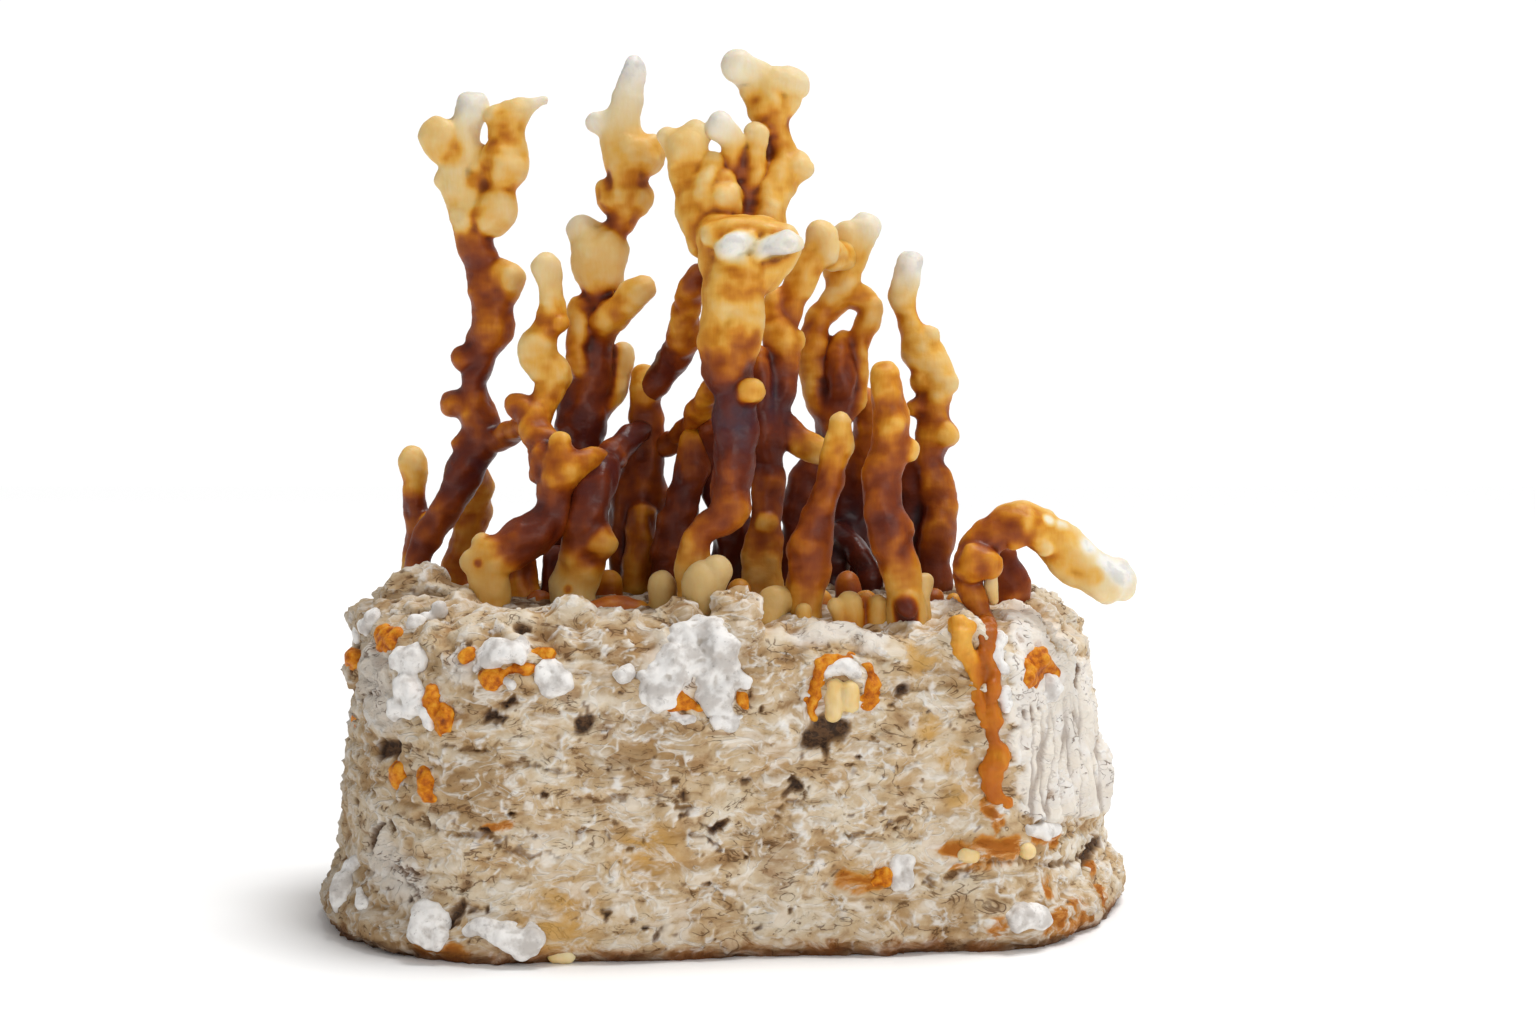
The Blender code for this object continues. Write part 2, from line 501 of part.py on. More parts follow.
def add_block_lumps(bm):
    """Lumps on the faces, the corner band and the buds along the top."""
    surface = BVHTree.FromBMesh(bm)
    for across, up, radius, depth_in in LUMPS:
        centre = spot_on_block(surface, across, up, depth_in)
        if centre:
            add_ball(bm, centre, radius * MM)
    band = [
        (spot_on_block(surface, across, up, CORNER_BAND_DEPTH_IN), radius * MM)
        for across, up, radius in CORNER_BAND
    ]
    band = [(centre, radius) for centre, radius in band if centre]
    for centre, radius in band:
        add_ball(bm, centre, radius)
    for (start, start_radius), (end, end_radius) in zip(band, band[1:]):
        add_link(bm, start, start_radius, end, end_radius)
    for run in BUDS + MOUNDS:
        add_run(bm, run)


def roughen(obj):
    """Broad swells and a coarse crust, moved along the normals."""
    for vertex in obj.data.vertices:
        place = vertex.co / MM
        moved = 0.0
        for size, height in (SWELL, CRUST):
            moved += noise.noise(place / size) * height
        vertex.co += vertex.normal * moved * MM


def cut_flat_below(obj):
    """Cut the underside off flat at the origin's height."""
    bm = bmesh.new()
    bm.from_mesh(obj.data)
    cut = bmesh.ops.bisect_plane(
        bm, geom=bm.verts[:] + bm.edges[:] + bm.faces[:],
        plane_co=(0, 0, 0), plane_no=(0, 0, 1), clear_inner=True,
    )
    rim = [item for item in cut["geom_cut"] if isinstance(item, bmesh.types.BMEdge)]
    bmesh.ops.contextual_create(bm, geom=rim)
    bm.to_mesh(obj.data)
    bm.free()


def make_block(collection):
    bm = bmesh.new()
    add_block_core(bm)
    add_block_lumps(bm)
    block = object_from(bm, "substrate_block", collection)
    blend_into_skin(block, BLOCK_VOXEL)
    roughen(block)
    reduce_to(block, BLOCK_TRIANGLES)
    cut_flat_below(block)
    block.data.shade_smooth()
    block.data.materials.append(material("mycelium_crust", MYCELIUM, CRUST_ROUGHNESS))
    return block


def make_antler(name, colour, runs, collection):
    bm = bmesh.new()
    for run in runs:
        add_run(bm, run)
    antler = object_from(bm, name, collection)
    blend_into_skin(antler, ANTLER_VOXEL)
    reduce_to(antler, max(LEAST_TRIANGLES, skin_area(antler) / AREA_PER_TRIANGLE))
    antler.data.shade_smooth()
    antler.data.materials.append(material(name + "_skin", colour, WAXY_ROUGHNESS))
    return antler


def new_collection(name):
    made = bpy.data.collections.new(name)
    bpy.context.scene.collection.children.link(made)
    return made


def main():
    for obj in list(bpy.data.objects):
        bpy.data.objects.remove(obj, do_unlink=True)
    parts = new_collection("reishi_mushroom")
    helpers = new_collection("cutters")
    helpers.hide_render = True
    block = make_block(parts)
    cutters = [fatter_copy(block, helpers)]
    for name, colour, runs in ANTLERS:
        antler = make_antler(name, colour, runs, parts)
        cut_clear(antler, cutters)
        cutters.append(fatter_copy(antler, helpers))


main()
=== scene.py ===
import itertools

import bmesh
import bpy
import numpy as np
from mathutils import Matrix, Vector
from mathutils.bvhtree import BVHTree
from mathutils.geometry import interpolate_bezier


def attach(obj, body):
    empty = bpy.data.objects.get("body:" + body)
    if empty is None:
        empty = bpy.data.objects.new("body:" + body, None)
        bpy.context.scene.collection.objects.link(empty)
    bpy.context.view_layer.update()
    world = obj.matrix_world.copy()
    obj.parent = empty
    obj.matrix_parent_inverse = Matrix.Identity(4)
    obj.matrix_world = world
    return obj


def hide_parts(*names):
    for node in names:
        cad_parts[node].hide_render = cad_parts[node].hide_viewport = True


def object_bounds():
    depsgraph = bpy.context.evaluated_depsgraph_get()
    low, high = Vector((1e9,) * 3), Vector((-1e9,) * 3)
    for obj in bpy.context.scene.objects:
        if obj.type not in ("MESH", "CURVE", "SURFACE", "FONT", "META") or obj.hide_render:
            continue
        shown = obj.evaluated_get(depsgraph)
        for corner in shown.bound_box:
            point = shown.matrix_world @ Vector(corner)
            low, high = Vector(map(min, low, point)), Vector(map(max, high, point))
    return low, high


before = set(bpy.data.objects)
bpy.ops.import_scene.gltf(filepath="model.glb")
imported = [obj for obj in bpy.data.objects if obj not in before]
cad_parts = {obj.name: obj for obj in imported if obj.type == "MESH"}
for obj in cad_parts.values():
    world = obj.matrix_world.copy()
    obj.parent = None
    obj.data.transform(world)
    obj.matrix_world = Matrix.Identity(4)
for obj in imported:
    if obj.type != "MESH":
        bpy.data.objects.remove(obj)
cad_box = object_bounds()

# The looks of an antler reishi on its sawdust grow block.
#
# Every antler is rebuilt as a fine, smooth skin round runs of joints:
# (across, up, depth, radius, ripeness), in millimetres. Across and up are read on
# an upright sheet through the middle of the block, as the eye sees it. Depth is how
# far the joint lies behind (+) or in front of (-) that sheet, and it slides the
# joint along the line of sight. Ripeness runs from 0, a white growing tip, through
# 20 cream, 40 gold, 55 amber and 70 rust to 95, purple-black.

MM = 0.001

# The eye, and the point of the middle sheet that it looks at, in millimetres.
EYE = Vector((11.25, -650.0, 147.0))
LOOKED_AT = Vector((11.25, 0.0, 98.0))
SHEET_DISTANCE = 650.0
LENS = 60.94
SENSOR = 36.0

# The studio: an even glow all round, one wide soft sun, and lamps: name, place in metres, size, watts.
AMBIENT = 0.42
SUN_FROM = (0.34, 0.12, 1.3)
SUN_STRENGTH = 2.0
SUN_WIDTH = 0.45
LAMPS = [
    ("front_light", (0.6, -1.0, 0.5), 0.6, 3.6),
    ("back_light", (0.2, 1.0, 0.6), 0.8, 1.5),
]
LAMPS_AIM = (0, 0, 0.1)
BACKDROP_STRENGTH = 1.05
FLOOR_WIDTH = 3.2

# How skins are made: balls this far apart along a run, each a little thicker than
# read because remeshing and softening shrink them, and the size of a voxel.
RUN_STEP = 1.1
THICKEN = 1.06
ANTLER_VOXEL = 0.62
ANTLER_SOFTENING = 4
BUD_VOXEL = 0.5
BUD_LUMPINESS = 0.5
BEAD_RIPENESS = 18

# Where the shade among the lower stems ends, as a soft edge from one place to another.
SHADE_ENDS_UP = (84, 112)
SHADE_ENDS_ACROSS = (50, 58)

# Waves in a surface: size, seed, height in millimetres.
SKIN_WAVES = [(7.5, 1, 1.3), (4.2, 2, 0.55), ((2.6, 2.6, 1.5), 3, 0.16)]
LUMP_WAVES = [(4.4, 30, 1.5), (1.9, 31, 0.7)]
BLOCK_WAVES = [(22, 7, 1.5), (9, 8, 1.1)]

# The antlers: name, slot, the solids that it stands for, and its runs of joints.
ANTLERS = [
    ("far_left_antler", "rust_tissue", ["far_left_stem", "far_left_left_fork", "far_left_right_fork"], [
        [(-75.8, 70, 12, 3.8, 16), (-76, 80, 12, 3.4, 34), (-75.8, 87, 12, 3.3, 72),
         (-73, 93, 12, 3.6, 66), (-69.4, 98.8, 12, 4.1, 66), (-65.6, 106, 12, 4.5, 84),
         (-62.4, 112.2, 12, 4.6, 84), (-60, 117.5, 12, 4.6, 66), (-62.2, 125.6, 12, 4.3, 57),
         (-62.2, 131, 11, 3.2, 84), (-60.8, 137.6, 11, 4.2, 70), (-57.6, 146, 10, 5, 57),
         (-59.8, 158, 10, 3.9, 66), (-61.4, 164.2, 10, 4.2, 66), (-62.6, 170.4, 10, 5, 42),
         (-64.4, 175.5, 10, 5, 28)],
        [(-62.4, 125.6, 12, 3.8, 57), (-67.6, 125.5, 12, 3.5, 62)],
        [(-60.8, 137, 11, 4, 68), (-64.8, 136.6, 10, 3.5, 68)],
        [(-57.8, 151, 10, 4, 55), (-53, 156, 10, 3.9, 34)],
        [(-60, 119, 12, 3.6, 66), (-65.6, 115.4, 11, 2.4, 60)],
        [(-60, 158, 10, 3.6, 60), (-53.6, 156.2, 9, 4, 40)],
        [(-60, 116.5, 12, 3.8, 70), (-55.5, 116.6, 8, 3, 68), (-51.5, 118.5, 2, 2.8, 64),
         (-49, 120, -4, 2.6, 60)],
        [(-63, 174, 10, 5, 26), (-65.4, 180, 10, 5.2, 20), (-65.6, 186, 10, 5.4, 18),
         (-65.4, 191.5, 10, 4.4, 14), (-63.8, 196, 10, 3.9, 8), (-62.6, 199, 10, 4.1, 3)],
        [(-66, 181, 10, 4, 24), (-69.6, 181.4, 9, 2.8, 22)],
        [(-66, 188, 10, 4.6, 22), (-70.8, 192.2, 9, 4.9, 26), (-69.6, 189, 9, 4.4, 34)],
        [(-62, 172, 9, 4.8, 34), (-61.4, 177, 9, 4.4, 34), (-60.8, 183, 9, 4.2, 26),
         (-61, 187, 9, 3, 26)],
        [(-60, 170.6, 9, 4.4, 38), (-57.2, 173, 7, 5.4, 30), (-55.8, 178.9, 7, 4, 44),
         (-54.8, 185, 7, 5.7, 32), (-54.4, 190.4, 7, 3.8, 44), (-54.4, 193.8, 7, 4.4, 38),
         (-52.6, 197.2, 7, 4, 28), (-48.6, 199.4, 7, 2.6, 10), (-45, 200.6, 7, 1.4, 4)],
        [(-54.2, 193.6, 7, 3.8, 38), (-56.2, 196.6, 7, 3.2, 20)],
    ]),
    ("far_left_stub_skin", "rust_tissue", ["far_left_stub"], [
        [(-77, 72, 26, 3.6, 20), (-77, 82.2, 26, 3.1, 22), (-76.4, 90, 26, 3.2, 66),
         (-76.2, 96, 26, 3.3, 54), (-76.9, 100.2, 26, 2.9, 82), (-77.4, 103.5, 26, 2.8, 46),
         (-77.4, 110.6, 26, 3.7, 36)],
        [(-76, 93, 26, 2.8, 60), (-73.4, 95.5, 23, 2.4, 50)],
    ]),
    ("left_pale_stem_skin", "golden_tissue", ["left_pale_stem"], [
        [(-66.4, 70, 30, 3.8, 42), (-66.4, 83, 30, 3.8, 48), (-65, 89, 30, 4, 50),
         (-62.4, 97, 28, 4, 46), (-60.6, 103.5, 24, 3.2, 46), (-61.4, 109, 18, 2.8, 60)],
    ]),
    ("front_left_antler", "rust_tissue", ["front_left_stem", "small_left_branch"], [
        [(-59, 67, -24, 5.2, 40), (-58.6, 79, -24, 5.2, 24), (-58.5, 85.5, -24, 5.3, 28),
         (-51.4, 90.2, -23, 5.4, 74), (-46, 93.8, -21, 5.2, 76), (-42.4, 98.5, -20, 4.6, 72),
         (-41.8, 104.2, -20, 4.6, 62), (-40.6, 109, -21, 4.8, 56), (-40.6, 115.2, -21, 3.2, 48)],
        [(-41, 109, -20, 4, 58), (-44.8, 112.4, -18, 3.6, 58), (-45.2, 108, -18, 3.4, 62)],
        [(-58.5, 84, -24, 4, 26), (-63, 85.5, -25, 2.9, 20)],
        [(-58.5, 84, -24, 4, 26), (-59.8, 90, -23, 3.1, 22)],
        [(-39.4, 109, -22, 4, 50), (-34.6, 110.8, -20, 3.4, 54), (-30, 111.5, -15, 2.5, 62)],
        [(-40, 110, -21, 3.6, 50), (-45, 113.8, -15, 3.4, 60)],
        [(-42, 113, -16, 3.2, 58), (-47, 119.5, -10, 4, 52), (-44.6, 126, -6, 3.6, 44),
         (-42.2, 130.8, -5, 4, 46), (-45.6, 136.4, -5, 4.4, 30), (-45.8, 140.5, -5, 4.2, 32),
         (-43.6, 145.5, -5, 3.3, 58), (-43, 150.8, -5, 3.4, 28), (-44, 154.8, -5, 3.2, 22),
         (-44.6, 159.3, -5, 3.7, 18)],
        [(-47, 120, -9, 3.4, 52), (-51, 124.4, -8, 3.6, 60)],
        [(-43.6, 145, -5, 2.8, 58), (-41.6, 145, -6, 2.6, 60)],
    ]),
    ("purple_front_stem_skin", "mahogany_tissue", ["purple_front_stem"], [
        [(-37.5, 72, -16, 5.2, 16), (-37.5, 78.8, -16, 5.5, 14), (-35.4, 84.4, -17, 5.2, 36),
         (-34.6, 90.5, -18, 5.4, 64), (-34, 97, -19, 5.4, 74), (-32.6, 103, -18, 5.4, 84),
         (-30.4, 108.5, -15, 4.8, 90), (-28.2, 112.2, -9, 3.6, 66), (-24.5, 115.5, -3, 3.2, 92),
         (-20.5, 118.4, 4, 3, 84)],
        [(-33, 89, -18, 4.6, 52), (-30.8, 90.6, -21, 4, 46), (-30.4, 93, -20, 3, 44)],
    ]),
    ("middle_back_stem_skin", "amber_tissue", ["middle_back_stem"], [
        [(-19.6, 70, 8, 5, 52), (-19.8, 78, 8, 5.6, 50), (-21, 85, 8, 7, 54), (-21, 94.5, 8, 7, 62),
         (-21.2, 102, 8, 6.8, 62), (-19.6, 110.5, 8, 5, 68), (-18.8, 118.8, 8, 4.1, 62),
         (-19.4, 124.5, 8, 4.4, 58), (-19.8, 131, 8, 3.8, 46)],
        [(-21, 80, 2, 4.6, 46), (-20.6, 89, 1.4, 4.2, 54), (-20.4, 97, 0.4, 3.6, 58)],
    ]),
    ("tall_back_antler", "amber_tissue", ["tall_back_stem"], [
        [(-38.8, 72, 6, 5, 80), (-38.4, 86, 6, 4.6, 80), (-37.8, 98.5, 6, 4.6, 78),
         (-36.4, 109.8, 6, 5, 76), (-35.6, 117.5, 6, 6, 80), (-35.2, 124, 6, 6.2, 76),
         (-32.6, 129, 6, 4.6, 68), (-32, 133.5, 6, 4.3, 70), (-31.6, 139.8, 6, 4.5, 60),
         (-30.8, 146.5, 6, 4.4, 56), (-31, 152.4, 6, 3.8, 70), (-30.8, 156.4, 6, 5.4, 32),
         (-31.2, 162.8, 6, 6.8, 22), (-28.8, 165.8, 6, 4.2, 42), (-26.8, 168.8, 6, 2.8, 68),
         (-24.4, 174.8, 6, 4.6, 44), (-23.8, 181.6, 6, 5.2, 42), (-24, 187.4, 6, 6.2, 32),
         (-25.2, 193.4, 6, 4.8, 18), (-24, 200, 6, 3.4, 10), (-22.9, 205, 6, 3.1, 5),
         (-22.4, 209.4, 6, 3, 0)],
        [(-22, 187.2, 6, 5, 32), (-19.8, 187.2, 6, 5.4, 34)],
        [(-26, 195, 6, 4, 12), (-29, 195, 6, 3.4, 7), (-31.4, 195.4, 5, 2.7, 4)],
        [(-29, 178.6, 6, 2.9, 44), (-27, 175.6, 6, 4.2, 44), (-21.6, 176.4, 6, 4.8, 32)],
        [(-31.4, 165, 6, 5, 22), (-35, 168.6, 6, 3.6, 7)],
        [(-31.4, 163, 6, 5.4, 26), (-28.6, 162.6, 6, 5.2, 28)],
        [(-31.5, 146, 6, 4, 50), (-36, 149.4, 5, 2.9, 42), (-35.6, 143, 4, 3.6, 44),
         (-36.8, 137.8, 3, 3.2, 46), (-34, 133, 5, 3.4, 52)],
        [(-31, 124, 7, 3.6, 46), (-26.4, 129, 10, 3.4, 24), (-25.8, 138, 11, 2.6, 32)],
        [(-30, 144, 4, 4, 56), (-27.2, 147.4, 1, 4.2, 48), (-24, 150.6, -1, 3.8, 40),
         (-20, 154.4, -3, 3.2, 36)],
    ]),
    ("centre_antler", "amber_tissue",
     ["front_centre_stem", "crown_left_knob", "crown_small_branch", "crown_tall_branch",
      "middle_rising_arm", "middle_cross_arm"], [
        [(-7, 64, -36, 4.6, 30), (-7, 80, -36, 4.5, 30), (-7, 87.5, -36, 4.2, 44),
         (-5, 93.5, -36, 3.7, 62), (0.8, 98, -35, 4.9, 62), (2.2, 104.2, -34, 5, 66),
         (2.8, 111.2, -34, 5.2, 76), (3, 119.2, -34, 5.4, 97), (2.8, 127.5, -34, 5.5, 92),
         (1, 134, -34, 6.2, 70), (1.5, 140.2, -34, 7, 44), (2.6, 148.2, -34, 7.4, 28),
         (3.2, 154.8, -34, 7.8, 44), (4.4, 160.5, -33, 7.8, 36), (5, 164.4, -32, 6.2, 38)],
        [(0.5, 158, -33, 5.4, 38), (-2, 163.6, -32, 4.4, 38), (-3, 168.4, -32, 3.4, 40),
         (4.6, 168.4, -32, 3.6, 40), (11.2, 168, -32, 3.4, 40), (16, 165, -33, 3.4, 30),
         (9.6, 158.6, -33, 5.6, 36)],
        [(3.6, 164.8, -33, 5.2, 34), (9.6, 164.8, -33, 5.2, 34)],
        [(1.5, 158, -34, 5, 40), (7.5, 162, -34, 5, 42), (13, 165, -34, 3.6, 38)],
        [(4, 127, -35, 4, 82), (7, 128, -39, 3.4, 44)],
        [(3.2, 161, -35, 4, 38), (1.2, 163.6, -38.4, 3, 2), (4.2, 165.2, -38.8, 3.3, 0),
         (6.4, 166.6, -38, 2.2, 4)],
        [(-1.8, 167, -34, 4, 38), (3, 168.2, -34.6, 3.2, 36), (9, 167.8, -35, 3.2, 36),
         (15.4, 166.4, -34.6, 3.2, 32)],
        [(8.6, 157, -34, 5.4, 36), (12, 161.4, -34, 4.6, 38)],
        [(8.4, 162.7, -39, 2, 3), (11.9, 164.3, -39.6, 2.8, 0), (15.4, 165, -39.4, 3.3, 0),
         (18.4, 165.2, -38, 2.4, 10)],
        [(1, 166, -26, 5, 44), (-1.6, 172, -26, 4.8, 40), (-4.4, 178.6, -26, 4.2, 36),
         (-2.6, 184.6, -24, 3, 34)],
        [(0, 172, -26, 4.4, 40), (0.8, 176.8, -27, 4.6, 28)],
        [(-1.6, 179.6, -26, 3.2, 40), (0.4, 180.4, -26, 2.8, 40)],
        [(-3.2, 166, -27, 5, 42), (-6.2, 172.2, -25, 4.9, 38), (-7.8, 178.5, -24, 4.6, 38),
         (-8.2, 184, -23, 4.4, 34), (-9.4, 188.6, -22, 5.4, 26)],
        [(-10, 188.6, -22, 4, 30), (-14.2, 192.2, -22, 2.4, 16)],
        [(-9, 188.6, -22, 4.4, 28), (-6.8, 192, -22, 3.4, 22)],
        [(6, 168, -23, 3.8, 44), (6.6, 178, -22, 2.6, 44), (7.4, 183.5, -22, 2.9, 38),
         (8.1, 187.7, -22, 3, 32), (8.7, 192.2, -22, 2.8, 22)],
        [(6.8, 183, -22, 2.8, 50), (2.6, 183.6, -22, 3.1, 50), (2.8, 187.4, -23, 2.9, 44),
         (2.2, 191.2, -23.5, 2.9, 14), (-0.6, 194.4, -24, 3.3, 3)],
        [(4, 178, -20, 4.4, 44), (9, 184, -17, 4, 44), (11, 189, -16, 3.2, 44)],
        [(11, 165, -24, 4.6, 40), (11, 174.4, -21, 5, 36), (14.2, 181.6, -18, 4.9, 32),
         (14.6, 187.4, -17, 3.4, 40), (13.8, 190.4, -17, 3.2, 44), (12.8, 195, -17, 4, 44),
         (11.8, 200.2, -17, 4.8, 42), (8.6, 206.2, -17, 3.9, 14), (3.4, 209.2, -18, 4.2, 6)],
        [(14, 182, -18, 4.4, 34), (19, 183.8, -18, 3.8, 26)],
        [(12, 200, -17, 4.2, 38), (12, 204.2, -17, 4.3, 18), (15, 204.6, -17, 4, 16),
         (18.2, 205.4, -16, 3.4, 12)],
        [(12.6, 196, -17, 3.6, 42), (16, 201, -17, 3.2, 30)],
        [(9.6, 199, -17, 3.4, 40), (7.2, 203.2, -17, 3.2, 26)],
        [(-18, 128, 7, 3.2, 76), (-15.2, 132.8, 4, 3.3, 80), (-12, 137, 0, 3.9, 82),
         (-10, 142, -5, 3.9, 58), (-9, 148, -10, 3.8, 44), (-8.4, 153.5, -15, 3.2, 60),
         (-5, 157.5, -20, 3, 68), (-0.5, 158.5, -25, 2.8, 68)],
        [(-15, 114.5, 7, 3, 78), (-11.4, 117, 2, 2.8, 66), (-7, 122, -8, 2.8, 64),
         (-3.4, 127.5, -18, 3, 58), (0, 132, -27, 3, 60)],
    ]),
    ("middle_short_stem_skin", "rust_tissue", ["middle_short_stem"], [
        [(-14, 70, -6, 4, 58), (-13.6, 84, -6, 4.4, 70), (-12.2, 94.5, -6, 4.4, 70),
         (-10.6, 99, -6, 4.4, 74), (-9, 104.5, -6, 4, 78), (-8, 109.5, -6, 4.2, 70),
         (-7.6, 115.5, -6, 3.5, 56)],
    ]),
    ("middle_dark_stem_skin", "mahogany_tissue", ["middle_dark_stem"], [
        [(1.4, 70, 2, 4.6, 86), (2, 84, 2, 4.8, 88), (2.2, 94, 1, 4.8, 88), (-0.8, 103, 0, 4, 88),
         (-3.4, 112, -3, 3.4, 84), (-3, 119, -8, 3, 80)],
    ]),
    ("left_low_stub_skin", "amber_tissue", ["left_low_stub"], [
        [(-50, 71, -6, 4.4, 40), (-50.6, 79.8, -6, 4.4, 44), (-50.8, 84, -6, 4.2, 68)],
    ]),
    ("left_dark_stub_skin", "mahogany_tissue", ["left_dark_stub"], [
        [(-42.4, 71, -4, 3.6, 60), (-41.8, 79, -4, 3.6, 76), (-41.4, 86, -3, 3.6, 84)],
    ]),
    ("right_middle_antler", "rust_tissue", ["right_middle_stem", "right_slanting_branch"], [
        [(9.4, 71, -14, 5.4, 30), (9.6, 82.6, -14, 5.4, 32), (10.4, 90, -13, 4.9, 54),
         (10.5, 97, -12, 4.2, 62), (11, 105, -12, 4, 62), (11, 111.5, -12, 3.8, 78),
         (12.4, 121.2, -11, 4, 83), (13.5, 127.5, -10, 4.1, 82), (14.2, 134.8, -9, 4.3, 56),
         (14.4, 140, -8, 4.5, 46), (13.4, 144.4, -8, 3.4, 50)],
        [(8.8, 137.4, -13, 2.4, 60), (9.2, 130, -14, 2.9, 82), (9.4, 121, -14, 3.1, 86),
         (10.4, 112, -13, 3.4, 80)],
        [(14.4, 140, -8, 3.6, 46), (18.2, 141, -8, 2.4, 38)],
        [(10.5, 92, -13, 3, 50), (10.8, 95, -15.6, 2.8, 42)],
        [(12.8, 122, -11, 3.4, 76), (15, 119.8, -10, 3.4, 68), (19.2, 115.2, -10, 3.5, 50),
         (23.4, 113, -10, 3.4, 44)],
        [(14.6, 141, -7, 3.4, 52), (15.4, 146, -6, 3.3, 56), (16.8, 151, -6, 3.6, 50),
         (19, 155.4, -6, 3.6, 38), (21.8, 159.6, -6, 3.6, 42), (24.4, 163.2, -6, 4, 28),
         (25.2, 166.8, -6, 3.8, 24)],
        [(25.4, 162, -4, 3.6, 34), (28, 162, 3, 3.6, 36), (29.6, 162, 9, 3.8, 38)],
        [(16.6, 151.5, -6, 2.8, 46), (13.6, 152, -7, 2.6, 40), (12.4, 147.5, -8, 2.8, 52)],
    ]),
    ("right_ringed_antler", "amber_tissue", ["right_ringed_stem"], [
        [(18, 71, 12, 4.6, 80), (18, 86, 12, 4.2, 80), (18.5, 96, 12, 3.8, 78),
         (19.4, 103.5, 12, 3.8, 74), (23, 109.8, 12, 3.8, 74), (27, 115.5, 12, 4, 68),
         (27.8, 122.4, 12, 4.5, 56)],
        [(27.2, 122, 12, 4.2, 54), (24, 127.4, 12, 3.8, 44), (22.8, 133.5, 12, 3.7, 44),
         (22.4, 139, 12, 3.7, 54), (23.4, 144.8, 12, 3.3, 52), (26.5, 149.5, 12, 3.3, 46),
         (29.4, 153.4, 12, 4.2, 38), (29.8, 158.5, 12, 4, 38), (32, 163.5, 12, 4.3, 38),
         (34.8, 168.4, 12, 4.2, 3)],
        [(32, 167.4, 12, 4, 16), (30, 163, 12, 4.2, 36), (28.6, 158, 12, 3.6, 40)],
        [(28, 122, 11, 4, 66), (29.5, 130.8, 8, 3.5, 76), (29.4, 135.4, 9, 3.1, 62),
         (29.6, 140.4, 12, 2.8, 50)],
        [(28.6, 121.5, 12, 3.8, 60), (33.2, 125.6, 12, 2.9, 46), (33.6, 131.5, 12, 2.7, 46),
         (34, 138, 12, 2.5, 46), (35.2, 143.5, 12, 2.7, 48), (37, 147.8, 12, 2.8, 40),
         (34.8, 151.4, 12, 3, 42), (29.4, 153, 12, 3.4, 42)],
    ]),
    ("back_dark_antler", "mahogany_tissue", ["back_dark_stem"], [
        [(33.8, 72, 30, 5.4, 90), (33.2, 83.5, 30, 5.1, 90), (31.8, 93.5, 29, 5.1, 88),
         (32.2, 101, 28, 5, 86), (34.6, 110.5, 24, 4.7, 66), (36, 118.5, 19, 4.2, 56),
         (35.2, 126, 15, 3.2, 56)],
        [(31.8, 93, 27, 3.4, 88), (29.4, 91.4, 19, 3, 94), (34.4, 87.5, 13, 3, 92),
         (37.2, 80, 10, 3, 90), (37.4, 72, 10, 3, 88)],
        [(29.4, 91.4, 19, 3, 94), (28, 84, 18, 3.4, 92), (27.6, 72, 18, 3.6, 90)],
    ]),
    ("right_tall_antler", "amber_tissue", ["right_tall_stem"], [
        [(53.2, 71, 6, 4.4, 76), (53, 80, 6, 4.2, 76), (52.6, 85, 6, 4.2, 68), (53.6, 92.5, 6, 4.6, 60),
         (54, 100.2, 6, 4.4, 54), (53, 105.4, 6, 4.6, 56), (51.6, 110.6, 6, 4.2, 62),
         (52.6, 117, 6, 4.1, 54), (53, 124.5, 6, 4, 48), (53, 130.6, 6, 4.8, 32),
         (50.2, 136.8, 6, 4.9, 32), (47.6, 142.4, 6, 3.6, 38), (46.4, 147, 6, 2.7, 46),
         (45.4, 151.4, 6, 3.3, 32), (45.6, 156, 6, 3.5, 8), (46.8, 160.4, 6, 3.5, 1)],
        [(48.6, 140.4, 6, 3.4, 34), (51.4, 142.4, 5, 2.6, 18)],
        [(52.6, 130, 6, 4, 30), (55, 129.8, 5, 3.7, 24)],
        [(52.4, 117.4, 6, 4, 52), (55.2, 117.6, 5, 3.9, 44)],
        [(53.6, 128, 6, 3.6, 40), (50, 131, 5, 3.8, 42)],
        [(52.4, 124.5, 6, 3, 54), (48.2, 124.3, 5, 2.4, 56)],
        [(48.6, 71, 12, 4, 86), (48.2, 86, 12, 4.2, 86), (47.2, 96, 11, 4.6, 84),
         (47.6, 104, 9, 4.2, 80), (50, 110.4, 7, 3.4, 70)],
    ]),
    ("front_slender_stem_skin", "amber_tissue", ["front_slender_stem"], [
        [(20.6, 64, -38, 4, 40), (20.6, 78, -38, 4.6, 37), (21.4, 83, -38, 5, 56),
         (21.6, 88.4, -38, 5.2, 60), (23.2, 94, -38, 4.3, 63), (25.2, 102, -38, 3.5, 66),
         (27, 108, -38, 3.4, 64), (28, 112, -38, 3.4, 47), (28.8, 115.5, -38, 3.4, 46),
         (29.2, 120, -38, 3.1, 40)],
    ]),
    ("front_thick_stem_skin", "amber_tissue", ["front_thick_stem"], [
        [(45.6, 62, -42, 4.4, 30), (45.6, 74, -42, 4.8, 24), (45, 79.4, -42, 4.6, 37),
         (43.2, 87, -42, 4.8, 52), (41.2, 93.8, -42, 5.2, 70), (39.8, 100.2, -41, 5, 66),
         (39.8, 106.5, -40, 5, 60), (41.4, 114.8, -40, 4.6, 54), (41.6, 121.2, -40, 4.8, 51),
         (41, 127, -40, 4.5, 52), (40.5, 132, -40, 3.5, 48)],
        [(41.8, 93.6, -42, 4, 62), (45.2, 93.4, -42, 3, 56)],
        [(41.8, 114.4, -40, 3.6, 54), (46, 113.6, -40, 3, 42)],
        [(45.8, 76, -45, 3.4, 20), (46, 74.4, -46.6, 2.8, 22)],
    ]),
    ("corner_hook", "golden_tissue", ["corner_hook_stem"], [
